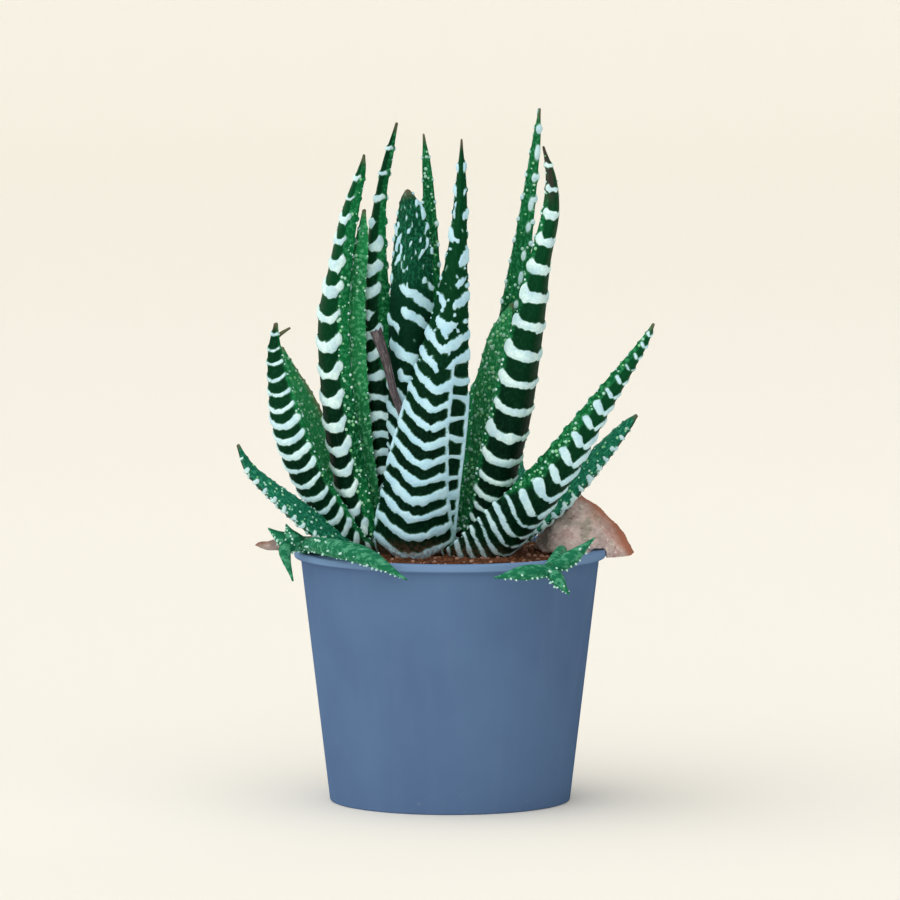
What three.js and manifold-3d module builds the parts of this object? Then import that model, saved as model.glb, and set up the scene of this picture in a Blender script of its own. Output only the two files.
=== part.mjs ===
// A potted haworthia: a rosette of thick, keeled, white-banded leaves in a plain tapered pot.
//
// Units are millimetres, +Z is up, and the origin is the centre of the pot's flat bottom.
// The front of the plant faces -Y. Every piece is one closed solid of its own, and pieces
// that lie against each other keep a small clearance, so nothing overlaps.

import * as THREE from 'three';
import { mergeVertices } from 'three/addons/utils/BufferGeometryUtils.js';
import Module from 'manifold-3d';

const wasm = await Module();
wasm.setup();

// Driving dimensions

const CLEARANCE = 0.3;

const POT_HEIGHT = 74.5;
const POT_BASE_RADIUS = 35.5;
const POT_BODY_RADIUS = 44.1;
const POT_WALL = 1.6;
const POT_FLOOR = 2;
const LIP_RADIUS = 46;
const LIP_HEIGHT = 2.3;
const LIP_OPENING_RADIUS = 41.9;
const POT_SIDES = 46;
const DRAIN_COUNT = 6;
const DRAIN_RADIUS = 3;
const DRAIN_RING_RADIUS = 22;

const SOIL_EDGE = 72.6;
const SOIL_CENTRE = 74.4;
const SOIL_LUMP = 0.35;

const PLANT_X = -6.5;
const CROWN_RADIUS = 5.5;
const CROWN_BOTTOM = 60;
const CROWN_SHOULDER = 78;
const CROWN_TOP = 100;

const BAND_LIFT = 0.45;
const BAND_SWEEP = 0.3;
const ROOM_SWELL = 1.05;
const ROOM_INNER_SHARE = 0.75;
const THINNEST = 0.25;
const ROOT_RADIUS = 4.5;
const ROOT_DROP = 2.5;
const ROOT_WIDTH_SHARE = 0.6;

const STALK_RADIUS = 1.1;
const LEAFLET_THICKNESS = 0.85;

const GREEN_DARK = 0x14502c;
const GREEN_LIGHT = 0x3f9a55;
const GREEN_TEAL = 0x2f8064;
const POT_BLUE = 0x587595;
const SOIL_BROWN = 0x6b4430;
const STALK_BROWN = 0x5a4650;
const STONE_PINK = 0xa88474;

// The leaves, from the innermost to the outermost. A station is [x, y, z, half-width] at the
// middle of the leaf's inner face. `faces` is the compass angle that the outer, keeled face
// looks to, counted from +X. `pitch` is the spacing of the bands near the root and the tip.

const LEAVES = [
  {
    name: 'leaf_back_tall', faces: 90, pitch: [5, 7], colour: GREEN_DARK,
    stations: [
      [-4.5, 4.5, 79.5, 4], [-6.3, 6.5, 100, 4.7], [-7.2, 7, 121, 4.7], [-6.9, 7, 141.5, 4.1],
      [-6.3, 6.5, 159.5, 3.2], [-6.2, 6, 176, 1.9], [-6.9, 5.5, 187.5, 1.3], [-7.8, 5, 197, 0.3],
    ],
  },
  {
    name: 'leaf_left_narrow', faces: -140, pitch: [7, 8], colour: GREEN_LIGHT,
    stations: [
      [-20.5, -5, 80.5, 3.8], [-25, -7, 101.5, 4.6], [-27.2, -8, 125, 4.7], [-27.6, -8, 149, 4.3],
      [-25.7, -7, 165, 2.7], [-25, -6, 175.5, 0.3],
    ],
  },
  {
    name: 'leaf_left_dark', faces: -120, pitch: [4.4, 8], colour: GREEN_DARK,
    stations: [
      [-15, -3.5, 80.5, 4.4], [-18.7, -5, 101, 5], [-21.1, -4.5, 125, 5.3], [-21.7, -3.5, 145.5, 4.9],
      [-21.7, -2.5, 163, 3.5], [-20.2, -1, 179.5, 1.9], [-18.1, 0.5, 190, 1.5], [-15.5, 2, 200.5, 0.3],
    ],
  },
  {
    name: 'leaf_centre_blunt', faces: -100, pitch: [4.5, 6], colour: GREEN_LIGHT,
    stations: [
      [-11.4, -7.5, 81, 5], [-12.2, -10.5, 102, 5.9], [-11.9, -11.5, 122.5, 6.3], [-11.4, -11.5, 143.5, 6.6],
      [-11.1, -10.5, 161, 5.9], [-11.4, -9.5, 172, 4.4], [-12.2, -9, 178.5, 2.4], [-12.5, -8.8, 181.5, 0.6],
    ],
  },
  {
    name: 'leaf_right_inner', faces: 50, pitch: [4.5, 5], colour: GREEN_LIGHT,
    stations: [
      [5.5, 2, 80, 4.7], [10.2, 3, 103.5, 5.6], [11.7, 4, 121, 5.6], [14, 4.5, 135.5, 4],
      [16.4, 4.5, 142, 2.5], [18.4, 4.5, 147, 0.3],
    ],
  },
  {
    name: 'leaf_right_tall', faces: 65, pitch: [5, 7.5], colour: GREEN_LIGHT,
    stations: [
      [7, 7, 82.5, 5.3], [14.3, 9.5, 109, 5.9], [17.3, 10.5, 132.5, 5], [19.6, 10, 150.5, 3.8],
      [22, 8.5, 168, 2.7], [24, 7, 183, 1.9], [25.5, 6, 195, 1.3], [26.4, 5, 204.5, 0.3],
    ],
  },
  {
    name: 'leaf_rear_left_tall', faces: 140, pitch: [4.6, 6], colour: GREEN_DARK,
    stations: [
      [-13.5, 7, 80, 4.8], [-19, 14, 104, 5.4], [-21.4, 19, 134, 4.3], [-21.7, 20, 160, 0.3],
    ],
  },
  {
    name: 'leaf_rear_left_mid', faces: 115, pitch: [4.6, 5.6], colour: GREEN_DARK,
    stations: [
      [-11, 11.5, 79.5, 6], [-13.5, 21, 98, 6.4], [-14.6, 32, 122, 4.8], [-15.2, 38, 150, 0.3],
    ],
  },
  {
    name: 'leaf_rear_mid', faces: 85, pitch: [4.6, 5.6], colour: GREEN_DARK,
    stations: [
      [-5, 12.5, 79, 6.6], [-4.4, 24, 96, 7], [-3.6, 36, 116, 5.2], [-2.9, 45, 140, 0.3],
    ],
  },
  {
    name: 'leaf_left_tall', faces: -115, pitch: [6, 6.6], colour: GREEN_DARK,
    stations: [
      [-24.5, -9.5, 80.5, 5.2], [-30.8, -12, 105, 5.4], [-33.5, -13, 125.5, 5.1], [-34.1, -13, 143.5, 5],
      [-32.3, -12, 158, 3.7], [-29.4, -9, 174, 2.8], [-26.1, -6.5, 186, 1.5], [-25.1, -5, 191.5, 0.3],
    ],
  },
  {
    name: 'leaf_front', faces: -92, pitch: [4.6, 7.4], sweep: 0.42, colour: GREEN_DARK,
    stations: [
      [-10.5, -13.5, 77, 11.2], [-8.7, -17.5, 93.5, 11.1], [-4, -18.5, 119, 9.1], [-0.1, -18.5, 144, 5.5],
      [2.2, -17, 164.5, 2.8], [3.2, -14.5, 182, 1.7], [3.4, -12, 196.5, 0.3],
    ],
  },
  {
    name: 'leaf_right_banded', faces: -68, pitch: [6, 7.6], colour: GREEN_DARK,
    stations: [
      [8.5, -8.5, 80, 5.8], [14.9, -12, 103.5, 6.7], [18.4, -13, 118.5, 6.5], [21.4, -13, 134.5, 5.7],
      [23.7, -12.5, 145, 4.6], [26.4, -11, 160.5, 3.4], [29.4, -9, 174, 2.8], [29.6, -7.5, 184.5, 1.7],
      [27.3, -6, 194, 0.3],
    ],
  },
  {
    name: 'leaf_left_behind', faces: 140, pitch: [4.2, 4.6], colour: GREEN_LIGHT,
    stations: [
      [-20, 2, 79, 5.3], [-31.4, 4, 93, 6.2], [-38.2, 6, 106, 6.2], [-43.2, 6.5, 118, 5],
      [-47.1, 6, 126.5, 2.9], [-49.6, 5, 134, 0.4],
    ],
  },
  {
    name: 'leaf_rear_right_mid', faces: 55, pitch: [4.4, 5.4], colour: GREEN_DARK,
    stations: [
      [0.5, 11, 78, 6], [2.5, 23, 93, 6.6], [5.5, 34, 108, 5], [9, 43, 124, 0.3],
    ],
  },
  {
    name: 'leaf_rear_right_low', faces: 35, pitch: [4.2, 5], colour: GREEN_TEAL,
    stations: [
      [7, 6, 76, 6], [14.5, 17, 83, 6.2], [19.5, 29, 89.5, 4.6], [21.5, 40, 97, 0.3],
    ],
  },
  {
    name: 'leaf_rear_left_low', faces: 155, pitch: [4.2, 5], colour: GREEN_TEAL,
    stations: [
      [-17, 8, 76, 6], [-24, 17, 84, 6.2], [-31.5, 28, 92.5, 4.6], [-38, 37, 102, 0.3],
    ],
  },
  {
    name: 'leaf_rear_low', faces: 100, pitch: [4.2, 5], colour: GREEN_TEAL,
    stations: [
      [-8, 15, 75.5, 6.4], [-8.5, 28, 82, 6.4], [-9, 40, 93, 4.8], [-9, 47.5, 108, 0.3],
    ],
  },
  {
    name: 'leaf_left_banded', faces: -150, pitch: [4.2, 4.5], colour: GREEN_DARK,
    stations: [
      [-26.5, -7, 78, 7.7], [-36.5, -9.5, 91.5, 8.4], [-42.3, -10, 102, 8.3], [-46.6, -9.5, 113.5, 7.2],
      [-49.4, -8, 125, 4.8], [-50.9, -6, 134, 2.7], [-51, -5, 142, 0.3],
    ],
  },
  {
    name: 'leaf_right_low', faces: 45, pitch: [3.6, 4.2], colour: GREEN_TEAL,
    stations: [
      [14, -1, 77, 6.3], [28.2, -3, 87, 5.9], [38.5, -4, 97, 4.7], [46.8, -5, 106, 3.2],
      [52.1, -6, 112, 1.8], [55, -6.5, 115, 0.3],
    ],
  },
  {
    name: 'leaf_right_spread', faces: -58, pitch: [3.9, 5], colour: GREEN_DARK,
    stations: [
      [8.5, -13.5, 77, 11], [20.8, -18, 88.5, 9.7], [31.7, -19, 101, 7.4], [42, -18, 116, 4.7],
      [50.9, -16, 128.5, 2.8], [56.8, -14.5, 137, 1.5], [59.7, -13.5, 142.5, 0.3],
    ],
  },
  {
    name: 'leaf_left_low', faces: 135, pitch: [3.6, 4.2], colour: GREEN_TEAL,
    stations: [
      [-24.5, -12, 75, 5], [-38.8, -17, 83.5, 4.8], [-47.1, -19, 90, 4], [-54.1, -20, 96, 2.9],
      [-58.9, -20, 101, 1.9], [-62.1, -19.5, 107.5, 0.3],
    ],
  },
];

// The small offset plants: a runner and its leaflets, each from the offset's heart to its tip.
// A point is [x, y, z, half-width].

const OFFSETS = [
  {
    name: 'offset_left',
    runner: [[-34.5, -10.5, 71, 1.8], [-38.5, -12, 76, 2], [-43, -14, 77.4, 2.4]],
    leaflets: [
      [[-42, -13.8, 77.4, 2.2], [-48.5, -15.5, 79, 2.5], [-53.3, -16.5, 82.3, 0.3]],
      [[-42.5, -14, 77.4, 2], [-46.2, -18, 80, 2.2], [-48, -20, 83.8, 0.3]],
      [[-42.5, -14.5, 77.6, 2.2], [-35.3, -32.5, 78.6, 2.9], [-24, -44, 77, 2.8], [-12.5, -49.8, 70.8, 0.3]],
      [[-42.8, -14.2, 77.2, 1.8], [-48.3, -18.5, 76.4, 2], [-46, -24, 67.6, 0.3]],
    ],
  },
  {
    name: 'offset_right',
    runner: [[30.5, -22.5, 71.5, 1.5], [32.5, -31, 77, 1.6], [31.5, -39.5, 77, 1.7], [29.3, -46, 73.4, 2.3]],
    leaflets: [
      [[28.5, -45.4, 73.4, 2], [35, -44, 76.6, 2.5], [42, -38.8, 81.8, 0.3]],
      [[29.8, -45.8, 73, 2], [21.5, -49.8, 73, 2.4], [12.8, -52, 71.6, 0.3]],
      [[29.3, -45.8, 73.2, 1.8], [31.5, -49.5, 70.6, 2], [34.5, -51, 66.6, 0.3]],
    ],
  },
];

// Solid helpers

function toSolid(geometry) {
  const bare = geometry.clone();
  bare.deleteAttribute('normal');
  bare.deleteAttribute('uv');
  const merged = mergeVertices(bare, 1e-4);
  const index = merged.getIndex().array;
  const kept = [];
  for (let i = 0; i < index.length; i += 3) {
    const [a, b, c] = [index[i], index[i + 1], index[i + 2]];
    if (a !== b && b !== c && c !== a) kept.push(a, b, c);
  }
  const vertProperties = Float32Array.from(merged.getAttribute('position').array);
  const triVerts = Uint32Array.from(kept);
  return new wasm.Manifold(new wasm.Mesh({ numProp: 3, vertProperties, triVerts }));
}

function toGeometry(solid) {
  const { vertProperties, triVerts, numProp } = solid.getMesh();
  const positions = new Float32Array((vertProperties.length / numProp) * 3);
  for (let i = 0; i * numProp < vertProperties.length; i += 1) {
    positions.set(vertProperties.slice(i * numProp, i * numProp + 3), i * 3);
  }
  const geometry = new THREE.BufferGeometry();
  geometry.setAttribute('position', new THREE.BufferAttribute(positions, 3));
  geometry.setIndex(Array.from(triVerts));
  geometry.computeVertexNormals();
  return geometry;
}

function boxesMeet(a, b) {
  const [boxA, boxB] = [a.boundingBox(), b.boundingBox()];
  return [0, 1, 2].every((k) => boxA.min[k] <= boxB.max[k] && boxB.min[k] <= boxA.max[k]);
}

function largestPiece(solid) {
  const pieces = solid.decompose();
  return pieces.reduce((best, piece) => (piece.volume() > best.volume() ? piece : best));
}

function carve(solid, cutters) {
  let carved = solid;
  for (const cutter of cutters) {
    if (boxesMeet(carved, cutter)) carved = carved.subtract(cutter);
  }
  return largestPiece(carved);
}

function lathe(profile, sides) {
  const points = profile.map(([radius, height]) => new THREE.Vector2(radius, height));
  return new THREE.LatheGeometry(points, sides).rotateX(Math.PI / 2);
}

function lump(x, y, z) {
  return Math.sin(x * 1.31 + z * 0.7) * Math.sin(y * 1.73 + 1.1) + 0.5 * Math.sin(x * 3.1 - y * 2.3 + z);
}

// Lofts: rows of section points joined into a closed skin

function closedSkin(rows, tip) {
  const around = rows[0].length;
  const positions = [];
  for (const row of rows) {
    for (const point of row) positions.push(point.x, point.y, point.z);
  }
  const rootCentre = rows[0].reduce((sum, p) => sum.add(p), new THREE.Vector3()).divideScalar(around);
  const rootIndex = rows.length * around;
  const tipIndex = rootIndex + 1;
  positions.push(rootCentre.x, rootCentre.y, rootCentre.z, tip.x, tip.y, tip.z);
  const index = [];
  for (let j = 0; j < around; j += 1) {
    const next = (j + 1) % around;
    index.push(rootIndex, next, j);
    for (let i = 0; i + 1 < rows.length; i += 1) {
      const [low, high] = [i * around, (i + 1) * around];
      index.push(low + j, low + next, high + next);
      index.push(low + j, high + next, high + j);
    }
    const last = (rows.length - 1) * around;
    index.push(last + j, last + next, tipIndex);
  }
  const geometry = new THREE.BufferGeometry();
  geometry.setAttribute('position', new THREE.Float32BufferAttribute(positions, 3));
  geometry.setIndex(index);
  return geometry;
}

// A leaf's midline, its half-width and its frame of directions at any length along it

class LeafLine {
  constructor(leaf) {
    const [x, y, z, halfWidth] = leaf.stations[0];
    const away = new THREE.Vector2(x - PLANT_X, y).setLength(ROOT_RADIUS);
    const root = [PLANT_X + away.x, away.y, z - ROOT_DROP, halfWidth * ROOT_WIDTH_SHARE];
    const stations = [root, ...leaf.stations];
    this.curve = new THREE.CatmullRomCurve3(stations.map((s) => new THREE.Vector3(s[0], s[1], s[2])), false,
      'catmullrom', 0.5);
    this.curve.arcLengthDivisions = 400;
    this.widths = new THREE.SplineCurve(stations.map((s) => new THREE.Vector2(s[3], 0)));
    this.length = this.curve.getLength();
    const angle = THREE.MathUtils.degToRad(leaf.faces);
    this.across = new THREE.Vector3(-Math.sin(angle), Math.cos(angle), 0);
  }

  at(distance) {
    const share = THREE.MathUtils.clamp(distance / this.length, 0, 1);
    const t = this.curve.getUtoTmapping(share);
    const along = this.curve.getTangent(t);
    const side = this.across.clone().addScaledVector(along, -this.across.dot(along)).normalize();
    const outward = side.clone().cross(along);
    const halfWidth = Math.max(this.widths.getPoint(t).x, THINNEST);
    return { share, centre: this.curve.getPoint(t), side, outward, halfWidth };
  }
}

// The section: a keeled outer face and an inner face that is hollow low down and full near the tip

const OUTER_SPREAD = [-1, -0.62, 0, 0.62, 1];
const INNER_SPREAD = [0.42, -0.42];
const ROOT_ROWS = [0, 4, 8, 12];
const FIRST_BAND = 17;
const ROOT_ZONE = 20;

function keelDepth(halfWidth, share) {
  return halfWidth * (0.56 + 0.3 * share) + 0.35;
}

function sectionPoint(line, distance, spread, outer, lift, swell) {
  const { share, centre, side, outward, halfWidth } = line.at(distance);
  const depth = keelDepth(halfWidth, share);
  const keel = THREE.MathUtils.lerp(1.9, 1.4, share);
  const hollow = THREE.MathUtils.lerp(0.16, -0.25, share) * depth;
  const margin = Math.abs(spread) === 1;
  let height = outer ? depth * (1 - Math.abs(spread) ** keel) : hollow * (1 - spread * spread);
  let reach = spread * halfWidth;
  if (margin) reach += Math.sign(spread) * (lift * 0.8 + swell);
  else if (outer) height += lift + swell;
  else height -= swell * ROOM_INNER_SHARE;
  return centre.clone().addScaledVector(side, reach).addScaledVector(outward, height);
}

function leafRow(line, distance, sweep, lift, swell) {
  const bend = sweep * line.at(distance).halfWidth;
  const point = (spread, outer) => {
    const shifted = Math.min(distance + bend * Math.abs(spread) ** 1.5, line.length - 0.6);
    return sectionPoint(line, shifted, spread, outer, lift, swell);
  };
  return [...OUTER_SPREAD.map((s) => point(s, true)), ...INNER_SPREAD.map((s) => point(s, false))];
}

// Bands rise from the outer face and notch the margins: one trough and one crest for each

function leafRows(line, leaf) {
  const sweep = leaf.sweep ?? BAND_SWEEP;
  const rows = ROOT_ROWS.map((distance) => ({ distance, sweep: 0, lift: 0 }));
  let distance = FIRST_BAND;
  while (distance < line.length - 4) {
    const pitch = THREE.MathUtils.lerp(leaf.pitch[0], leaf.pitch[1], distance / line.length);
    const fade = THREE.MathUtils.clamp((line.length - distance) / 40, 0.45, 1);
    rows.push({ distance: distance - pitch / 2, sweep, lift: 0 });
    rows.push({ distance, sweep, lift: BAND_LIFT * fade });
    distance += pitch;
  }
  return rows;
}

function bandedLeaf(leaf) {
  const line = new LeafLine(leaf);
  const rows = leafRows(line, leaf).map((row) => leafRow(line, row.distance, row.sweep, row.lift, 0));
  return closedSkin(rows, line.at(line.length).centre);
}

// The room a leaf takes up, with the clearance that its neighbours keep to it. It keeps every
// row near the root, where leaves crowd together, and few of the others.

function leafRoom(leaf) {
  const line = new LeafLine(leaf);
  const kept = leafRows(line, leaf).filter((row, i) => row.distance < ROOT_ZONE || i % 5 === 0);
  const rows = kept.map((row) => leafRow(line, row.distance, row.sweep, 0, ROOM_SWELL));
  return closedSkin(rows, line.at(line.length).centre);
}

function makeLeaves(innerRooms) {
  const rooms = [...innerRooms];
  const solids = [];
  for (const leaf of LEAVES) {
    solids.push(carve(toSolid(bandedLeaf(leaf)), rooms));
    rooms.push(toSolid(leafRoom(leaf)));
  }
  return { solids, rooms };
}

// The crown that the leaves grow from: a short stem in the soil and the furled youngest leaf on top

function makeCrown(gap) {
  const profile = [[0, CROWN_BOTTOM - gap], [CROWN_RADIUS + gap, CROWN_BOTTOM - gap],
    [CROWN_RADIUS + gap, CROWN_SHOULDER], [CROWN_RADIUS * 0.7 + gap, CROWN_SHOULDER + 8],
    [CROWN_RADIUS * 0.4 + gap, CROWN_TOP - 6], [0, CROWN_TOP + gap]];
  return toSolid(lathe(profile, 16).translate(PLANT_X, 0, 0));
}

// The dry stub of an old flower stalk, thicker at its broken end, leaning between two leaves

function makeStalk(gap) {
  const path = new THREE.CatmullRomCurve3([
    new THREE.Vector3(-8.6, -7.4, 84),
    new THREE.Vector3(-11.6, -15.2, 100),
    new THREE.Vector3(-13.8, -17.2, 114),
    new THREE.Vector3(-16.6, -17.8, 123),
    new THREE.Vector3(-18.8, -17.8, 132),
    new THREE.Vector3(-21.6, -17.4, 140.3),
  ]);
  const steps = 9;
  const rows = [];
  for (let i = 0; i <= steps; i += 1) {
    const share = i / steps;
    const centre = path.getPointAt(share);
    const along = path.getTangentAt(share);
    const side = new THREE.Vector3(0, 1, 0).cross(along).normalize();
    const front = along.clone().cross(side);
    const radius = STALK_RADIUS * (0.85 + 0.75 * share ** 3) + gap;
    const row = [];
    for (let j = 0; j < 7; j += 1) {
      const angle = (j / 7) * 2 * Math.PI;
      row.push(centre.clone().addScaledVector(side, radius * Math.cos(angle))
        .addScaledVector(front, radius * Math.sin(angle)));
    }
    rows.push(row);
  }
  const end = path.getPointAt(1).addScaledVector(path.getTangentAt(1), 0.5 + gap);
  return toSolid(closedSkin(rows, end));
}

// The pot: a tapered wall, a flat floor with drain holes and a thin rolled lip

function potProfile(gap) {
  const lipFoot = POT_HEIGHT - LIP_HEIGHT;
  const edge = 0.6;
  return [
    [0, -gap], [POT_BASE_RADIUS - edge + gap, -gap], [POT_BASE_RADIUS + gap, edge],
    [POT_BODY_RADIUS + gap, lipFoot - gap], [LIP_RADIUS - edge / 2 + gap, lipFoot - gap],
    [LIP_RADIUS + gap, lipFoot + edge], [LIP_RADIUS + gap, POT_HEIGHT - edge],
    [LIP_RADIUS - edge + gap, POT_HEIGHT + gap], [LIP_OPENING_RADIUS + edge, POT_HEIGHT + gap],
    [LIP_OPENING_RADIUS - gap, POT_HEIGHT - edge], [POT_BODY_RADIUS - POT_WALL - 0.6, lipFoot - 2],
    [POT_BASE_RADIUS - POT_WALL, POT_FLOOR], [0, POT_FLOOR],
  ];
}

function makePot() {
  let pot = toSolid(lathe(potProfile(0), POT_SIDES));
  for (let i = 0; i < DRAIN_COUNT; i += 1) {
    const angle = (i / DRAIN_COUNT) * 2 * Math.PI;
    const hole = new THREE.CylinderGeometry(DRAIN_RADIUS, DRAIN_RADIUS, POT_FLOOR * 3, 12);
    hole.rotateX(Math.PI / 2);
    hole.translate(DRAIN_RING_RADIUS * Math.cos(angle), DRAIN_RING_RADIUS * Math.sin(angle), POT_FLOOR / 2);
    pot = pot.subtract(toSolid(hole));
  }
  return pot;
}

// The soil fills the pot to just under the lip, rises a little to the plant and is lumpy on top

function soilGeometry(gap) {
  const wallTop = LIP_OPENING_RADIUS - CLEARANCE - 0.2;
  const wallFoot = POT_BASE_RADIUS - POT_WALL - CLEARANCE;
  const rise = SOIL_CENTRE - SOIL_EDGE;
  const top = [1, 0.86, 0.68, 0.4].map((share) => [
    (wallTop - 0.4) * share, SOIL_EDGE + gap + rise * Math.min(1, 1.8 * (1 - share)),
  ]);
  const profile = [[0, POT_FLOOR + CLEARANCE], [wallFoot, POT_FLOOR + CLEARANCE], [wallTop, SOIL_EDGE - 1],
    ...top, [0, SOIL_CENTRE + gap]];
  const geometry = lathe(profile, 30);
  const position = geometry.getAttribute('position');
  for (let i = 0; i < position.count; i += 1) {
    const [x, y, z] = [position.getX(i), position.getY(i), position.getZ(i)];
    if (z > SOIL_EDGE + gap - 0.5) position.setZ(i, z + SOIL_LUMP * lump(x, y, 0));
  }
  return geometry;
}

// Stones lying on the soil and the lip: a blunt wedge whose sides are nearly straight between its
// top and its ends, with separate reaches to the left, right, front and back, top and bottom

const STONE_BLUNTNESS = 1.35;
const STONE_UNEVENNESS = 0.05;

function makeStone(centre, reach, seed, beds) {
  const ball = new THREE.IcosahedronGeometry(1, 3);
  ball.deleteAttribute('normal');
  ball.deleteAttribute('uv');
  const stone = mergeVertices(ball, 1e-4);
  const position = stone.getAttribute('position');
  const point = new THREE.Vector3();
  for (let i = 0; i < position.count; i += 1) {
    point.fromBufferAttribute(position, i);
    const powers = [point.x, point.y, point.z].map((v) => Math.abs(v) ** STONE_BLUNTNESS);
    const radius = (powers[0] + powers[1] + powers[2]) ** (-1 / STONE_BLUNTNESS);
    point.multiplyScalar(radius * (1 + STONE_UNEVENNESS * lump(point.x * 2 + seed, point.y * 2, point.z * 2)));
    const x = point.x * (point.x > 0 ? reach.right : reach.left);
    const z = point.z * (point.z > 0 ? reach.top : reach.bottom);
    position.setXYZ(i, centre[0] + x, centre[1] + point.y * reach.depth, centre[2] + z);
  }
  return carve(toSolid(stone), beds);
}

// Offsets: small young plants on runners that hang over the lip

function leafletLine(points) {
  const curve = new THREE.CatmullRomCurve3(points.map((p) => new THREE.Vector3(p[0], p[1], p[2])));
  const widths = new THREE.SplineCurve(points.map((p) => new THREE.Vector2(p[3], 0)));
  return { curve, widths };
}

function leaflet(points, thickness, lift, swell) {
  const { curve, widths } = leafletLine(points);
  const steps = 2 * points.length + 1;
  const rows = [];
  for (let i = 0; i < steps; i += 1) {
    const t = i / steps;
    const centre = curve.getPoint(t);
    const along = curve.getTangent(t);
    const side = new THREE.Vector3(0, 0, 1).cross(along).normalize();
    const up = along.clone().cross(side);
    const half = Math.max(widths.getPoint(t).x, 0.3) + swell + (i % 2) * lift;
    const row = [];
    for (let j = 0; j < 6; j += 1) {
      const angle = (j / 6) * 2 * Math.PI;
      row.push(centre.clone().addScaledVector(side, half * Math.cos(angle))
        .addScaledVector(up, (half * thickness + swell * (1 - thickness)) * Math.sin(angle)));
    }
    rows.push(row);
  }
  const end = curve.getPoint(1).addScaledVector(curve.getTangent(1), swell);
  return toSolid(closedSkin(rows, end));
}

function makeOffset(offset, gap) {
  let plant = leaflet(offset.runner, 1, 0, gap);
  for (const points of offset.leaflets) {
    plant = plant.add(leaflet(points, LEAFLET_THICKNESS, 0.25, gap));
  }
  return plant;
}

// Assembly

function addPiece(group, name, solid, color, roughness) {
  const material = new THREE.MeshStandardMaterial({ color, roughness, metalness: 0 });
  const mesh = new THREE.Mesh(toGeometry(solid), material);
  mesh.name = name;
  group.add(mesh);
}

const plant = new THREE.Group();

const crownRoom = makeCrown(CLEARANCE);
const stalkRoom = makeStalk(CLEARANCE);
const stalk = carve(makeStalk(0), [crownRoom]);
const { solids: leafSolids, rooms: leafRooms } = makeLeaves([crownRoom, stalkRoom]);

const potRoom = toSolid(lathe(potProfile(CLEARANCE), POT_SIDES));
const soilRoom = toSolid(soilGeometry(CLEARANCE));
const offsetRooms = OFFSETS.map((offset) => makeOffset(offset, CLEARANCE));
const offsetSolids = OFFSETS.map((offset) => carve(makeOffset(offset, 0), [soilRoom, potRoom, ...leafRooms]));
const soil = carve(toSolid(soilGeometry(0)), leafRooms);

const stoneBeds = [potRoom, soilRoom, ...leafRooms, ...offsetRooms];
const RIGHT_REACH = { left: 11, right: 19.5, depth: 13, top: 19.7, bottom: 4.5 };
const LEFT_REACH = { left: 16, right: 15, depth: 10, top: 2.8, bottom: 2.4 };
const stoneRight = makeStone([35, 3, 72.8], RIGHT_REACH, 0.4, stoneBeds);
const stoneLeft = makeStone([-42.5, 2, 75.2], LEFT_REACH, 2.1, stoneBeds);

addPiece(plant, 'pot', makePot(), POT_BLUE, 0.55);
addPiece(plant, 'soil', soil, SOIL_BROWN, 0.95);
addPiece(plant, 'crown', makeCrown(0), GREEN_LIGHT, 0.6);
addPiece(plant, 'dry_stalk', stalk, STALK_BROWN, 0.9);
LEAVES.forEach((leaf, i) => addPiece(plant, leaf.name, leafSolids[i], leaf.colour, 0.45));
OFFSETS.forEach((offset, i) => addPiece(plant, offset.name, offsetSolids[i], GREEN_TEAL, 0.5));
addPiece(plant, 'stone_right', stoneRight, STONE_PINK, 0.9);
addPiece(plant, 'stone_left', stoneLeft, STONE_PINK, 0.9);

export default plant;
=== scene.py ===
# %% [markdown]
# # A potted haworthia
# The plant is a rosette of thick, pointed leaves with raised white bands, in a plain blue plastic pot.
# Two young plants, a dry stalk and two stones go with it. The frame already holds every solid at its
# real size and place. This lesson gives each of them its fine shape and its finish, and leaves all sizes
# alone. Lengths of the plant and the pot are written in millimetres and turned into metres by one
# factor; only the floor, the lamps and the camera are set in metres.

import math

import bmesh
import bpy
import numpy as np
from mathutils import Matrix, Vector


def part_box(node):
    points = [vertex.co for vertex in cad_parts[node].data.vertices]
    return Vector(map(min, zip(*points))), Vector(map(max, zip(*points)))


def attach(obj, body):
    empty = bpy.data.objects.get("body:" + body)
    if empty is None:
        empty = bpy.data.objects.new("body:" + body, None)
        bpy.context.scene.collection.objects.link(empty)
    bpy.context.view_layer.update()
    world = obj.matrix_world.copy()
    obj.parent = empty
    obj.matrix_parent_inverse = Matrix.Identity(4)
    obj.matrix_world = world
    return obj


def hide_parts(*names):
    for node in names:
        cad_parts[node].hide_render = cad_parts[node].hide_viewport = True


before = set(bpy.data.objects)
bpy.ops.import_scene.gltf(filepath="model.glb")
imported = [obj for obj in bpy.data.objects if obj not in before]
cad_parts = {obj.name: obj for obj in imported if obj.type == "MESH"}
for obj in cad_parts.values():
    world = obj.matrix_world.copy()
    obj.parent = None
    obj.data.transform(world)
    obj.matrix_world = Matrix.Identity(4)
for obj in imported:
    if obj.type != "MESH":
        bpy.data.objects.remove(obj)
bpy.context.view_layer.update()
MM = 0.001
print("solids in the frame:", len(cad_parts))


# %% [markdown]
# ## Small helpers for meshes
# Every fine piece is built as plain arrays of points and faces, which is the quickest way to follow a
# formula, and then handed to Blender in one go. Most pieces are rows of points round a middle, so one
# helper joins the rows and another closes both ends. Numbers that a tree or a finish reads later, such
# as how white a point is, are stored on the points.

# %% Mesh helpers
def link(name, data):
    piece = bpy.data.objects.new(name, data)
    bpy.context.scene.collection.objects.link(piece)
    return piece


def new_object(name, points, faces):
    mesh = bpy.data.meshes.new(name)
    mesh.from_pydata([tuple(p) for p in points], [], [tuple(f) for f in faces])
    mesh.validate()
    mesh.update()
    mesh.shade_smooth()
    return link(name, mesh)


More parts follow.
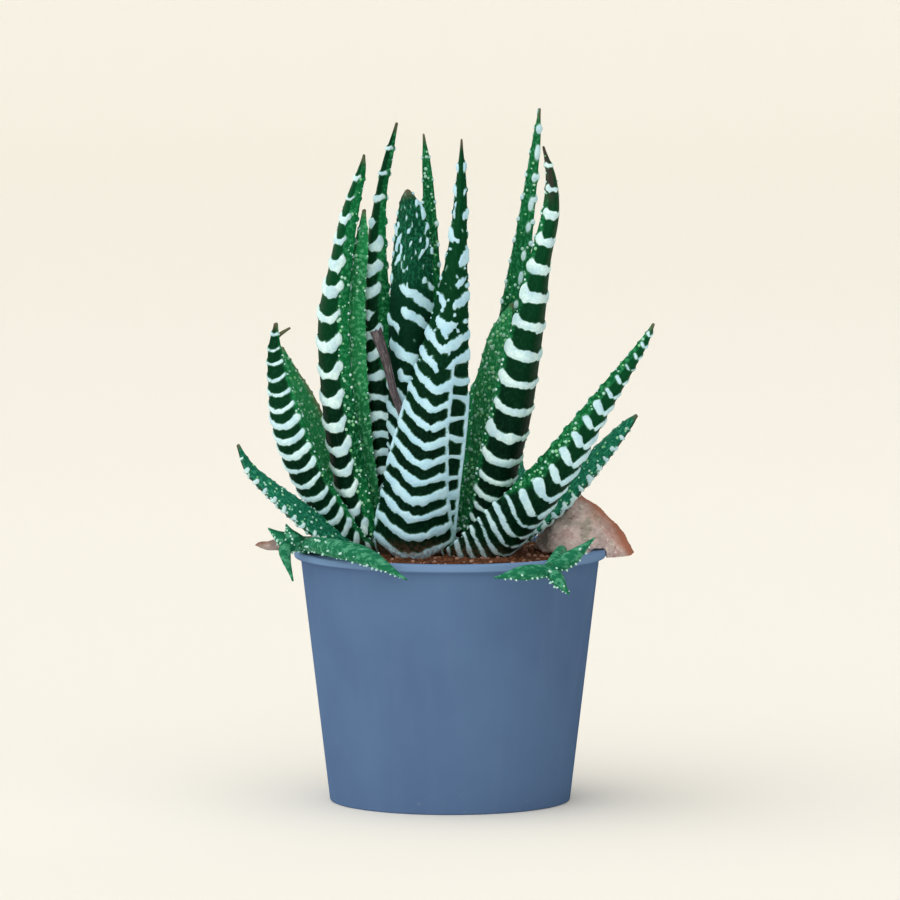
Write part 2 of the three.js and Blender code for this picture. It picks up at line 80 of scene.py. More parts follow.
def store(piece, **attributes):
    for name, values in attributes.items():
        values = np.asarray(values, dtype=np.float32)
        if values.ndim == 0:
            values = np.full(len(piece.data.vertices), values)
        kind, key = ("FLOAT_VECTOR", "vector") if values.ndim == 2 else ("FLOAT", "value")
        piece.data.attributes.new(name, kind, "POINT").data.foreach_set(key, values.ravel())


def grid_faces(rows, around, first=0):
    faces = []
    for i in range(rows - 1):
        low = first + i * around
        high = low + around
        for j in range(around):
            k = (j + 1) % around
            faces.append((low + j, low + k, high + k, high + j))
    return faces


def closing_faces(rows, around, first=0):
    # The two end points follow the rows: first the one at the root, then the one at the tip.
    faces = []
    root = first + rows * around
    last = root - around
    for j in range(around):
        k = (j + 1) % around
        faces.append((root, first + k, first + j))
        faces.append((last + j, last + k, root + 1))
    return faces


def body_faces(rows, around, first=0):
    return grid_faces(rows, around, first) + closing_faces(rows, around, first)


def new_body(name, skin, root, tip):
    points = np.vstack([skin.reshape(-1, 3), root, tip])
    return new_object(name, points * MM, body_faces(*skin.shape[:2]))


def padded(values, before, after, rest=0.0):
    values = np.asarray(values, dtype=float)
    return np.pad(values, [(before, after)] + [(0, 0)] * (values.ndim - 1), constant_values=rest)


def unit(vectors):
    return vectors / np.linalg.norm(vectors, axis=-1)[..., None]


def smooth_step(low, high, value):
    t = np.clip((np.asarray(value, dtype=float) - low) / (high - low), 0, 1)
    return t * t * (3 - 2 * t)


# %% [markdown]
# ## The node helper
# Node trees for shapes and for materials are built from code in the same way: add a node, feed its
# inputs with numbers or with other nodes' outputs, and use its first output. One small helper does
# this for both kinds of tree, which keeps every tree below short enough to read.

# %% Node helper
class Tree:
    def __init__(self, tree):
        self.tree = tree

    def add(self, kind, inputs=None, **settings):
        node = self.tree.nodes.new(kind)
        for key, value in settings.items():
            setattr(node, key, value)
        for key, value in (inputs or {}).items():
            self.feed(node.inputs[key], value)
        return node

    def feed(self, socket, value):
        if isinstance(value, bpy.types.Node):
            value = first_output(value)
        if isinstance(value, bpy.types.NodeSocket):
            self.tree.links.new(value, socket)
        else:
            socket.default_value = value

    def math(self, operation, a, b):
        return self.add("ShaderNodeMath", {0: a, 1: b}, operation=operation).outputs[0]

    def times(self, a, b):
        return self.math("MULTIPLY", a, b)

    def plus(self, a, b):
        return self.math("ADD", a, b)

    def vector(self, operation, a, b=None, scale=None):
        node = self.add("ShaderNodeVectorMath", {0: a}, operation=operation)
        if b is not None:
            self.feed(node.inputs[1], b)
        if scale is not None:
            self.feed(node.inputs["Scale"], scale)
        return node.outputs[0]

    def step(self, value, low, high, to_low=0.0, to_high=1.0):
        node = self.add("ShaderNodeMapRange", {0: value, 1: low, 2: high, 3: to_low, 4: to_high})
        node.interpolation_type = "SMOOTHSTEP"
        return node.outputs[0]


def first_output(node):
    return next(s for s in node.outputs if s.enabled)


# %% [markdown]
# ## The leaf's rule
# Every leaf follows the same rule. A midline rises from the crown and carries a half-width at each
# station. The section across it is flat or slightly hollow on the inner face and rounded into a keel
# on the outer face, and it gets relatively thicker towards the tip. The stations repeat those of the
# solids, because a leaf is a free curve that no box of a solid could give back.

# %% [markdown]
# Each row of the table says what sets one leaf apart from the usual one. `faces` is the angle that its
# outer face looks to. The bands have a spacing along the leaf (`pitch`), a thickness (`half`, and
# `fullness` across the leaf), a zone from edge through middle to edge (`zone`) and arms that bend up at
# either side (`arms`, `bend`). `low_zone` and `low_arms` hold nearer the root, until `rise`. Bands may
# end freely or run out of sight (`ends`), get narrower (`narrow`), break up (`breaks`, `blob`) or wander
# (`wobble`). From a share of its length on, a leaf may have a bare middle (`split`), loose blobs
# (`speckled`) or long flecks (`streaks`); one has a second keel (`strip`). Single tubercles stand on the
# inner face (`dots`), beside the bands (`side_dots`) and on the margins (`ticks`); some margins carry
# `bars` or `blobs`. `tone`, `paleness`, `scorch` and `dry` only colour the skin, and `cool` tints
# the bands of shaded leaves blue as painted shade.

# %% The leaves' stations
PLANT_X = -6.5
ROOT_RADIUS = 4.5
ROOT_DROP = 2.5
ROOT_WIDTH_SHARE = 0.6
THINNEST = 0.25

USUAL = dict(
    skin="outer", paleness=1.0, cool=0.2, scorch=0, dry=2,
    half=1.0, zone=(-0.9, 0, 0.9), arms=(2.5, 2.5), bend=1.9, rise=(0.3, 0.46), ends=(True, True),
    narrow=0, breaks=0.3, blob=2.4, wobble=1, fullness=((-1, 0.85), (0, 1.05), (1, 0.85)),
    dots=0.4, side_dots=0.0, ticks=0.35, dot_scale=1,
)

LEAVES = [
    dict(name="leaf_back_tall", faces=90, tone=0.0, paleness=0.0, pitch=((0, 5), (1, 7)), half=0.9,
         zone=(-0.8, 0, 0.8), arms=(2.0, 2.0), breaks=0.4, ticks=0.3,
         stations=[(-4.5, 4.5, 79.5, 4), (-6.3, 6.5, 100, 4.7), (-7.2, 7, 121, 4.7),
             (-6.9, 7, 141.5, 4.1), (-6.3, 6.5, 159.5, 3.2), (-6.2, 6, 176, 1.9), (-6.9, 5.5, 187.5, 1.3),
             (-7.8, 5, 197, 0.3)]),
    dict(name="leaf_left_narrow", faces=-140, skin="green", pitch=((0, 4.1), (1, 4.2)), half=0.75,
         zone=(-0.02, 0.1, 0.2), arms=(0.4, 0.8), breaks=0.1, dots=0.2, side_dots=0.35, ticks=0.3,
         stations=[(-20.5, -5, 80.5, 3.8), (-25, -7, 101.5, 4.6), (-27.2, -8, 125, 4.7),
             (-27.6, -8, 149, 4.3), (-25.7, -7, 165, 2.7), (-25, -6, 175.5, 0.3)]),
    dict(name="leaf_left_dark", faces=-120, tone=0.4, pitch=((0, 4.4), (1, 8)), half=1.15,
         fullness=((-1, 0.85), (0, 1.05), (1, 0.8)), zone=(-0.55, -0.05, 0.45), arms=(0.9, 1.6),
         low_zone=(-0.95, 0.3, 1.0), low_arms=(-3.2, -3.6), bend=2.0, breaks=0.25, side_dots=0.3,
         ticks=0.3,
         stations=[(-15, -3.5, 80.5, 4.4), (-18.7, -5, 101, 5), (-21.1, -4.5, 125, 5.3),
             (-21.7, -3.5, 145.5, 4.9), (-21.7, -2.5, 163, 3.5), (-20.2, -1, 179.5, 1.9),
             (-18.1, 0.5, 190, 1.5), (-15.5, 2, 200.5, 0.3)]),
    dict(name="leaf_centre_blunt", faces=-100, skin="blunt", tone=1.0, cool=0.5,
         pitch=((0, 4.6), (0.4, 6.4), (1, 6)), half=1.1, fullness=((-1, 0.9), (0, 1.05), (1, 0.95)),
         zone=(-0.95, 0.1, 0.95), arms=(3.6, -3.4), bend=1.2, breaks=0.62, blob=3.0, wobble=1.8,
         streaks=0.78, side_dots=0.4,
         stations=[(-11.4, -7.5, 81, 5), (-12.2, -10.5, 102, 5.9), (-11.9, -11.5, 122.5, 6.3),
             (-11.4, -11.5, 143.5, 6.6), (-11.1, -10.5, 161, 5.9), (-11.4, -9.5, 172, 4.4),
             (-12.2, -9, 178.5, 2.4), (-12.5, -8.8, 181.5, 0.6)]),
    dict(name="leaf_right_inner", faces=50, skin="green", paleness=0.5, pitch=((0, 4.5), (1, 5)),
         half=0.8, dots=0.6, dot_scale=1.25,
         stations=[(5.5, 2, 80, 4.7), (10.2, 3, 103.5, 5.6), (11.7, 4, 121, 5.6), (14, 4.5, 135.5, 4),
             (16.4, 4.5, 142, 2.5), (18.4, 4.5, 147, 0.3)]),
    dict(name="leaf_right_tall", faces=65, tone=0.2, paleness=0.2, pitch=((0, 5), (1, 7.5)), half=0.9,
         dots=0.25, blobs=0.9, blob_line=((0.3, 0.05), (0.5, 0.12), (0.7, 0.42), (0.85, 0.6), (1, 0.6)),
         flank=-1,
         stations=[(7, 7, 82.5, 5.3), (14.3, 9.5, 109, 5.9), (17.3, 10.5, 132.5, 5),
             (19.6, 10, 150.5, 3.8), (22, 8.5, 168, 2.7), (24, 7, 183, 1.9), (25.5, 6, 195, 1.3),
             (26.4, 5, 204.5, 0.3)]),
    dict(name="leaf_rear_left_tall", faces=140, pitch=((0, 4.6), (1, 6)), half=1.1, zone=(-0.95, 0, 0.8),
         arms=(2.5, 3.0), side_dots=0.5, ticks=0.4,
         stations=[(-13.5, 7, 80, 4.8), (-19, 14, 104, 5.4), (-21.4, 19, 134, 4.3),
             (-21.7, 20, 160, 0.3)]),
    dict(name="leaf_rear_left_mid", faces=115, pitch=((0, 4.6), (1, 5.6)), half=1.15,
         zone=(-1.0, 0, 0.85), arms=(3.0, 3.0), ends=(False, True), breaks=0.15, side_dots=0.5, ticks=0.4,
         stations=[(-11, 11.5, 79.5, 6), (-13.5, 21, 98, 6.4), (-14.6, 32, 122, 4.8),
             (-15.2, 38, 150, 0.3)]),
    dict(name="leaf_rear_mid", faces=85, pitch=((0, 4.6), (1, 5.6)), half=1.15, zone=(-0.95, 0, 0.95),
         arms=(3.2, 3.2), breaks=0.15, ticks=0.4,
         stations=[(-5, 12.5, 79, 6.6), (-4.4, 24, 96, 7), (-3.6, 36, 116, 5.2), (-2.9, 45, 140, 0.3)]),
    dict(name="leaf_left_tall", faces=-115, tone=0.8, cool=0.0,
         pitch=((0, 5.4), (0.25, 6.2), (0.45, 8.1), (0.6, 8), (0.75, 6.8), (1, 5.8)),
         fullness=((-1, 0.9), (-0.4, 1), (0.3, 1.1), (0.8, 0.9), (1, 0.75)), zone=(-0.95, 0.05, 0.5),
         arms=(1.6, 1.7), bend=2.6, ends=(False, True), narrow=0.45, breaks=0.08, side_dots=0.75,
         ticks=0.4,
         stations=[(-24.5, -9.5, 80.5, 5.2), (-30.8, -12, 105, 5.4), (-33.5, -13, 125.5, 5.1),
             (-34.1, -13, 143.5, 5), (-32.3, -12, 158, 3.7), (-29.4, -9, 174, 2.8),
             (-26.1, -6.5, 186, 1.5), (-25.1, -5, 191.5, 0.3)]),
    dict(name="leaf_front", faces=-92, cool=0.55, pitch=((0, 4.6), (1, 7.4)), half=1.14,
         fullness=((-1, 0.85), (0, 1.05), (1, 0.95)), zone=(-1.0, -0.12, 1.0), arms=(4.0, 4.2),
         low_zone=(-1.0, -0.12, 1.0), low_arms=(1.6, 1.5), rise=(0.06, 0.22), bend=1.2, breaks=0.5,
         blob=2.2, wobble=2.0, split=0.72, strip=True, speckled=0.42,
         stations=[(-10.5, -13.5, 77, 11.2), (-8.7, -17.5, 93.5, 11.1), (-4, -18.5, 119, 9.1),
             (-0.1, -18.5, 144, 5.5), (2.2, -17, 164.5, 2.8), (3.2, -14.5, 182, 1.7),
             (3.4, -12, 196.5, 0.3)]),
    dict(name="leaf_right_banded", faces=-68, tone=0.7, cool=0.0, dry=0.84,
         pitch=((0, 3.9), (0.17, 4.2), (0.27, 7.3), (0.5, 8.6), (0.8, 8), (1, 6)), half=0.9,
         fullness=((-1, 0.95), (-0.8, 1), (-0.3, 1.05), (0.5, 1), (0.8, 0.85), (1, 0.7)),
         zone=(-0.82, -0.2, 0.92), arms=(1.0, 1.1), bend=3.4, ends=(True, False), narrow=0.35,
         breaks=0.08, side_dots=0.8, ticks=0.45,
         stations=[(8.5, -8.5, 80, 5.8), (14.9, -12, 103.5, 6.7), (18.4, -13, 118.5, 6.5),
             (21.4, -13, 134.5, 5.7), (23.7, -12.5, 145, 4.6), (26.4, -11, 160.5, 3.4),
             (29.4, -9, 174, 2.8), (29.6, -7.5, 184.5, 1.7), (27.3, -6, 194, 0.3)]),
    dict(name="leaf_left_behind", faces=140, skin="green", scorch=0.7, pitch=((0, 4.2), (1, 4.6)),
         half=0.8, ticks=0.25,
         stations=[(-20, 2, 79, 5.3), (-31.4, 4, 93, 6.2), (-38.2, 6, 106, 6.2), (-43.2, 6.5, 118, 5),
             (-47.1, 6, 126.5, 2.9), (-49.6, 5, 134, 0.4)]),
    dict(name="leaf_rear_right_mid", faces=55, pitch=((0, 4.4), (1, 5.4)), half=1.1, zone=(-0.85, 0, 1.0),
         arms=(3.0, 3.0), ends=(True, False), breaks=0.15, side_dots=0.5, ticks=0.4,
         stations=[(0.5, 11, 78, 6), (2.5, 23, 93, 6.6), (5.5, 34, 108, 5), (9, 43, 124, 0.3)]),
    dict(name="leaf_rear_right_low", faces=35, skin="low", pitch=((0, 4.2), (1, 5)), breaks=0.35,
         ticks=0.45,
         stations=[(7, 6, 76, 6), (14.5, 17, 83, 6.2), (19.5, 29, 89.5, 4.6), (21.5, 40, 97, 0.3)]),
    dict(name="leaf_rear_left_low", faces=155, skin="low", pitch=((0, 4.2), (1, 5)), breaks=0.35,
         ticks=0.45,
         stations=[(-17, 8, 76, 6), (-24, 17, 84, 6.2), (-31.5, 28, 92.5, 4.6), (-38, 37, 102, 0.3)]),
    dict(name="leaf_rear_low", faces=100, skin="low", pitch=((0, 4.2), (1, 5)), breaks=0.35, ticks=0.45,
         stations=[(-8, 15, 75.5, 6.4), (-8.5, 28, 82, 6.4), (-9, 40, 93, 4.8), (-9, 47.5, 108, 0.3)]),
    dict(name="leaf_left_banded", faces=-150, pitch=((0, 4.2), (1, 4.5)),
         fullness=((-1, 0.85), (0, 1.1), (1, 0.9)), zone=(-0.15, 0.5, 0.86), arms=(2.2, 0.9),
         low_zone=(-0.15, 0.45, 0.86), low_arms=(2.4, 1.6), bend=2.0, ends=(False, True), breaks=0.05,
         side_dots=0.6, ticks=0.3,
         flap=[(-51.2, -5.6, 137.2, 0.5), (-49.7, -5.3, 138.7, 0.55), (-47, -5, 140.4, 0.32)],
         stations=[(-26.5, -7, 78, 7.7), (-36.5, -9.5, 91.5, 8.4), (-42.3, -10, 102, 8.3),
             (-46.6, -9.5, 113.5, 7.2), (-49.4, -8, 125, 4.8), (-50.9, -6, 134, 2.7), (-51, -5, 142, 0.3)]),
    dict(name="leaf_right_low", faces=45, skin="low", pitch=((0, 3.6), (1, 4.2)), arms=(2.0, 2.0),
         breaks=0.4, dots=0.26, bars=True, flank=-1,
         stations=[(14, -1, 77, 6.3), (28.2, -3, 87, 5.9), (38.5, -4, 97, 4.7), (46.8, -5, 106, 3.2),
             (52.1, -6, 112, 1.8), (55, -6.5, 115, 0.3)]),
    dict(name="leaf_right_spread", faces=-58, tone=0.8, cool=0.3,
         pitch=((0, 2.7), (0.2, 2.9), (0.3, 4.2), (0.38, 5.9), (0.58, 5.9), (0.75, 4.8), (1, 3.2)),
         half=1.1,
         fullness=((-1, 0.95), (-0.35, 1.0), (0.02, 0.7), (0.15, 0.15), (0.3, 0.9), (0.6, 1.0), (1, 0.8)),
         zone=(-0.58, -0.18, 0.4), arms=(1.2, 3.0), low_zone=(-1.0, -0.2, 0.8), low_arms=(2.6, 3.0),
         bend=1.3, ends=(True, False), breaks=0.12, side_dots=0.8,
         stations=[(8.5, -13.5, 77, 11), (20.8, -18, 88.5, 9.7), (31.7, -19, 101, 7.4),
             (42, -18, 116, 4.7), (50.9, -16, 128.5, 2.8), (56.8, -14.5, 137, 1.5),
             (59.7, -13.5, 142.5, 0.3)]),
    dict(name="leaf_left_low", faces=135, skin="low", pitch=((0, 3.6), (1, 4.2)), arms=(2.0, 2.0),
         breaks=0.4, dots=0.26, bars=True, flank=1,
         stations=[(-24.5, -12, 75, 5), (-38.8, -17, 83.5, 4.8), (-47.1, -19, 90, 4),
             (-54.1, -20, 96, 2.9), (-58.9, -20, 101, 1.9), (-62.1, -19.5, 107.5, 0.3)]),
]
LEAVES = [{**USUAL, **leaf} for leaf in LEAVES]

OFFSETS = [
    dict(name="offset_left",
         runner=[(-34.5, -10.5, 71, 1.8), (-38.5, -12, 76, 2), (-43, -14, 77.4, 2.4)],
         leaflets=[
             [(-42, -13.8, 77.4, 2.2), (-48.5, -15.5, 79, 2.5), (-53.3, -16.5, 82.3, 0.3)],
             [(-42.5, -14, 77.4, 2), (-46.2, -18, 80, 2.2), (-48, -20, 83.8, 0.3)],
             [(-42.5, -14.5, 77.6, 2.2), (-35.3, -32.5, 78.6, 2.9), (-24, -44, 77, 2.8),
              (-12.5, -49.8, 70.8, 0.3)],
             [(-42.8, -14.2, 77.2, 1.8), (-48.3, -18.5, 76.4, 2), (-46, -24, 67.6, 0.3)],
         ]),
    dict(name="offset_right",
         runner=[(30.5, -22.5, 71.5, 1.5), (32.5, -31, 77, 1.6), (31.5, -39.5, 77, 1.7),
              (29.3, -46, 73.4, 2.3)],
         leaflets=[
             [(28.5, -45.4, 73.4, 2), (35, -44, 76.6, 2.5), (42, -38.8, 81.8, 0.3)],
             [(29.8, -45.8, 73, 2), (21.5, -49.8, 73, 2.4), (12.8, -52, 71.6, 0.3)],
             [(29.3, -45.8, 73.2, 1.8), (31.5, -49.5, 70.6, 2), (34.5, -51, 66.6, 0.3)],
         ]),
]

# %% [markdown]
# ## From stations to a smooth line
# The midline is a spline through the stations, so that the leaf bends evenly between them. Positions
# and widths are sampled densely once. After that any place on the leaf is found by its distance from
# the root, which is also how a ruler laid along a real leaf would measure it.

# %% The leaf's line
LINE_SAMPLES = 1601


def spline(values, t, extrapolated):
    first = 2 * values[0] - values[1] if extrapolated else values[0]
    last = 2 * values[-1] - values[-2] if extrapolated else values[-1]
    knots = np.vstack([first, values, last])
    place = t * (len(values) - 1)
    i = np.minimum(place.astype(int), len(values) - 2)
    u = (place - i)[:, None]
    p0, p1, p2, p3 = (knots[i + k] for k in range(4))
    v1, v2 = (p2 - p0) / 2, (p3 - p1) / 2
    return (2 * p1 - 2 * p2 + v1 + v2) * u ** 3 + (3 * p2 - 3 * p1 - 2 * v1 - v2) * u ** 2 + v1 * u + p1


class LeafLine:
    def __init__(self, leaf):
        x, y, z, half_width = leaf["stations"][0]
        away = np.array([x - PLANT_X, y])
        away *= ROOT_RADIUS / np.hypot(*away)
        root = (PLANT_X + away[0], away[1], z - ROOT_DROP, half_width * ROOT_WIDTH_SHARE)
        stations = np.array([root, *leaf["stations"]], dtype=float)
        t = np.linspace(0, 1, LINE_SAMPLES)
        self.points = spline(stations[:, :3], t, True)
        self.widths = np.maximum(spline(stations[:, 3:], t, False)[:, 0], THINNEST)
        steps = np.linalg.norm(np.diff(self.points, axis=0), axis=1)
        self.distances = np.concatenate([[0], np.cumsum(steps)])
        self.length = self.distances[-1]
        self.slopes = unit(np.gradient(self.points, self.distances, axis=0))
        angle = math.radians(leaf["faces"])
        self.across = np.array([-math.sin(angle), math.cos(angle), 0])

    def read(self, table, distance):
        columns = [np.interp(distance, self.distances, table[:, k]) for k in range(3)]
        return np.stack(columns, axis=-1)

    def width(self, distance):
        return np.interp(distance, self.distances, self.widths)


# %% [markdown]
# ## From a line to a skin
# A place on the leaf is a distance along it, a spread across it from -1 to 1, and a face: the keeled
# outer one or the inner one. One function turns such places into points. The skin, the small
# tubercles and the normals all use it, so they can't drift apart.

# %% Places on a leaf
ROOT_DEPTH, DEPTH_GAIN, LEAST_DEPTH = 0.56, 0.3, 0.35
ROOT_KEEL, KEEL_LOSS = 1.9, 0.5
ROOT_HOLLOW, HOLLOW_LOSS = 0.16, 0.41
MARGIN_ROUNDING = 0.3


def leaf_place(line, distance, spread, outer):
    share = np.clip(distance / line.length, 0, 1)
    half_width = line.width(distance)
    along = line.read(line.slopes, distance)
    centre = line.read(line.points, distance)
    side = unit(line.across - along * (along @ line.across)[..., None])
    outward = np.cross(side, along)
    depth = half_width * (ROOT_DEPTH + DEPTH_GAIN * share) + LEAST_DEPTH
    keel = ROOT_KEEL - KEEL_LOSS * share
    hollow = (ROOT_HOLLOW - HOLLOW_LOSS * share) * depth
    size = np.abs(spread)
    rounding = MARGIN_ROUNDING * np.sqrt(np.maximum(1 - size ** 2, 0))
    height = np.where(outer, depth * (1 - size ** keel) + rounding, hollow * (1 - size ** 2) - rounding)
    return centre + side * (spread * half_width)[..., None] + outward * height[..., None]


def leaf_normal(line, distance, spread, outer):
    inward = np.where(spread > 0, -0.02, 0.02)
    here = leaf_place(line, distance, spread, outer)
    ahead = leaf_place(line, distance + 0.2, spread, outer) - here
    beside = (leaf_place(line, distance, spread + inward, outer) - here) * np.sign(inward)[..., None]
    normal = np.cross(beside, ahead) * np.where(outer, 1, -1)[..., None]
    return unit(normal)


front = LeafLine(next(leaf for leaf in LEAVES if leaf["name"] == "leaf_front"))
print("front leaf length in mm:", round(front.length, 1), "widest:", round(2 * front.widths.max(), 1))


# %% [markdown]
# ## The white bands
# The bands are rows of white tubercles that have grown together. Each band follows the leaf's front
# edge in a shallow U or V, swells at the margins, wanders a little, and towards the tip breaks up
# into blobs. The marks are kept as one number at each point: how many millimetres it lies inside the
# nearest band. The relief and the colour both read it, so that white and raised always agree. All
# wandering is smooth and comes from a generator seeded by the leaf's own number, so that every run
# grows the same plant.

# %% Band spacing
FIRST_BAND = 1.5
BARE_TIP = 3


def band_centres(leaf, line):
    shares, pitches = zip(*leaf["pitch"])
    centres = []
    distance = FIRST_BAND
    while distance < line.length - BARE_TIP:
        centres.append(distance)
        distance += np.interp(distance / line.length, shares, pitches)
    return np.array(centres)


def nearest_band(centres, settled):
    return np.searchsorted((centres[1:] + centres[:-1]) / 2, settled)


def lattice_noise(rng, rows, x, row, wavelength):
    cells = x / wavelength
    low = int(np.floor(cells.min())) - 1
    knots = rng.uniform(-1, 1, (rows, int(np.ceil(cells.max())) - low + 3))
    index = np.floor(cells).astype(int) - low
    t = smooth_step(0, 1, cells - np.floor(cells))
    return knots[row, index] * (1 - t) + knots[row, index + 1] * t


def slow_waves(rng, x, y, wavelength):
    total = np.zeros_like(x)
    for turn in rng.uniform(0, math.tau, 4):
        phase = rng.uniform(0, math.tau)
        stretch = rng.uniform(0.7, 1.4) * math.tau / wavelength
        total += np.sin(stretch * (x * math.cos(turn) + y * math.sin(turn)) + phase)
    return total / 4


# %% [markdown]
# A point's mark is found in two steps. First the point is carried back along the curve of its band to
# the middle of the zone. There its distance from the band's centre line is taken from the band's half
# thickness, which swells and shrinks along the band. The front leaf adds its second keel.

# %% Band marks
BAND_SHARE = 0.19
THINNER_FROM_TIP = 30
EVEN_WIDTH = 5
STEEPEST = 1.7
LOBES = ((0.2, 1.1), (0.22, 2.4))
STRIP_PITCH, STRIP_BAR = 5.6, 0.85
RIDGE_SHARES, RIDGE_SPREADS = [0.12, 0.22, 0.36, 0.5], [0.95, 0.7, 0.46, 0.4]


def band_place(leaf, line, distance, spread):
    """Where a point lies among the bands: its share across the band zone, from -1 to 1, its distance
    settled back along the band's curve, how far it lies beyond the zone, and how steeply the band runs."""
    share = distance / line.length
    rising = smooth_step(*leaf["rise"], share)
    zone_low = leaf.get("low_zone", leaf["zone"])
    arms_low = leaf.get("low_arms", leaf["arms"])
    low, middle, high = (a + (b - a) * rising for a, b in zip(zone_low, leaf["zone"]))
    low_arm, high_arm = (a + (b - a) * rising for a, b in zip(arms_low, leaf["arms"]))
    width = line.width(distance)
    narrower = 1 - leaf["narrow"] * smooth_step(0.6, 0.85, share)
    reach = np.where(spread < middle, middle - low, high - middle) * narrower
    across = (spread - middle) / reach
    arm = np.where(across < 0, low_arm, high_arm) * np.clip(width / EVEN_WIDTH, 0.35, 1.3)
    curved = np.minimum(np.abs(across), 1.15)
    settled = distance - arm * curved ** leaf["bend"]
    slope = arm * leaf["bend"] * curved ** (leaf["bend"] - 1) / (reach * width)
    steepness = np.minimum(np.hypot(1, slope), STEEPEST)
    ends = np.where(across < 0, *leaf["ends"]) | (narrower < 0.9)
    beyond = np.where(ends, np.maximum(np.abs(across) - 1, 0) * reach * width, 0)
    return across, settled, beyond, steepness


def stroke_marks(rng, leaf, line, distance, x, place):
    """How far inside the nearest band a point lies, in millimetres."""
    across, settled, beyond, steepness = place
    share = distance / line.length
    centres = band_centres(leaf, line)
    halves = BAND_SHARE * np.gradient(centres) * leaf["half"] * (1 + 0.14 * rng.uniform(-1, 1, len(centres)))
    halves = halves * np.clip((line.length - centres) / THINNER_FROM_TIP, 0.5, 1)
    nearest = nearest_band(centres, settled)
    offset = np.hypot((settled - centres[nearest]) / steepness, beyond)
    half = halves[nearest]
    lobes = sum(size * lattice_noise(rng, len(centres), x, nearest, wave) for size, wave in LOBES)
    grown = 0.15 + 0.85 * smooth_step(0.25, 0.8, share)
    gaps = lattice_noise(rng, len(centres), x + 40, nearest, leaf["blob"])
    missing = np.maximum(gaps - (1 - 2 * leaf["breaks"] * grown), 0)
    marks = half * (np.interp(across, *zip(*leaf["fullness"])) + lobes) - offset - 3.5 * half * missing
    if "split" in leaf:
        middle = smooth_step(0.55, 0.2, np.abs(across))
        marks = marks - 2.5 * middle * smooth_step(leaf["split"], leaf["split"] + 0.12, share)
    return marks, half


def strip_marks(rng, line, distance, spread, marks):
    """The front leaf has a second keel: a white ridge with short level bars between it and the margin."""
    share = distance / line.length
    width = line.width(distance)
    ridge = np.interp(share, RIDGE_SHARES, RIDGE_SPREADS)
    present = smooth_step(0.56, 0.46, share)
    place = distance - 3.1 + 1.2 * slow_waves(rng, distance, spread * width, 9)
    bars = STRIP_BAR - np.abs(place % STRIP_PITCH - STRIP_PITCH / 2)
    marks = np.where(smooth_step(ridge, ridge + 0.05, spread) * present > 0.5, bars, marks)
    line_half = 0.5 + 0.15 * slow_waves(rng, distance, distance * 0, 4)
    ridge_line = line_half - np.abs(spread - ridge) * width
    raggedness = slow_waves(rng, distance, distance * 0, 5)
    rim = np.where(spread > 0, 0.6 + 0.3 * raggedness, 0.2 + 0.9 * raggedness)
    rim = rim - (1 - np.abs(spread)) * width - 3 * smooth_step(0.42, 0.52, share)
    return np.maximum(marks, np.where(present > 0.5, np.maximum(ridge_line, rim), -9))


def fleck_marks(rng, leaf, share, distance, x):
    """Long white flecks run along the upper part of a leaf, where its bands have dissolved."""
    flecks = slow_waves(rng, (x - 0.4 * distance) * 2.4, distance * 0.8, 6)
    flecks = flecks + slow_waves(rng, x * 3.6, distance, 5)
    flecks = flecks + 0.5 * slow_waves(rng, x, distance, 9)
    return 1.3 * flecks - 0.45, smooth_step(leaf["streaks"] - 0.1, leaf["streaks"] + 0.05, share)


def speckle_marks(rng, leaf, share, distance, x, across):
    """Where the bands begin to dissolve, loose blobs stand between them."""
    present = smooth_step(leaf["speckled"], leaf["speckled"] + 0.08, share) * smooth_step(0.98, 0.85, share)
    blobs = slow_waves(rng, x * 1.2, distance * 0.9, 3.4) + 0.5 * slow_waves(rng, x, distance, 2.2)
    blobs = 1.5 * blobs - 0.84 - 0.5 * smooth_step(0.5, 0.2, np.abs(across)) * smooth_step(0.6, 0.7, share)
    return present * blobs - 3 * (1 - present)


def leaf_marks(leaf, line, distance, spread, outer, rng):
    width = line.width(distance)
    share = distance / line.length
    x = spread * width
    across, settled, beyond, steepness = band_place(leaf, line, distance, spread)
    ripple = 0.4 * slow_waves(rng, x, distance, 6) + 0.2 * slow_waves(rng, x, distance, 1.5)
    looser = 1 + (leaf["wobble"] - 1) * smooth_step(0.3, 0.55, share)
    settled = settled + looser * ripple
    marks, half = stroke_marks(rng, leaf, line, distance, x, (across, settled, beyond, steepness))
    zone = np.where(np.where(across < 0, *leaf["ends"]), smooth_step(1.3, 0.95, np.abs(across)), 1)
    if "strip" in leaf:
        marks = strip_marks(rng, line, distance, spread, marks)
    if "streaks" in leaf:
        flecks, start = fleck_marks(rng, leaf, share, distance, x)
        marks = marks * (1 - start) + start * flecks
        zone = zone * (1 - start)
    if "speckled" in leaf:
        marks = np.maximum(marks, speckle_marks(rng, leaf, share, distance, x, across))
    at_margin = band_place(leaf, line, distance, np.sign(spread))[1]
    centres = band_centres(leaf, line)
    off_band = at_margin - centres[nearest_band(centres, at_margin)]
    inner = 0.8 * half - np.hypot(off_band, (1 - np.abs(spread)) * width)
    if "blobs" in leaf:
        inner = np.maximum(inner, margin_blobs(rng, leaf, line, distance, spread))
    if "bars" in leaf:
        inner = np.maximum(inner, margin_bars(rng, leaf, line, distance, spread))
        marks = np.maximum(marks, margin_bars(rng, leaf, line, distance, spread))
    return np.clip(np.where(outer, marks, inner), -6, 3), np.where(outer, zone, 0)


# %% [markdown]
# Leaves that show their inner face have no bands there, but tubercles still line the margins: long
# blobs on a tall one, and short bars at right angles to the edge on the low ones.

# %% Marks along the margins
BLOB_PITCH, BLOB_LENGTH = 7.4, 1.9
BAR_PITCH, BAR_HALF = 3.7, 0.6


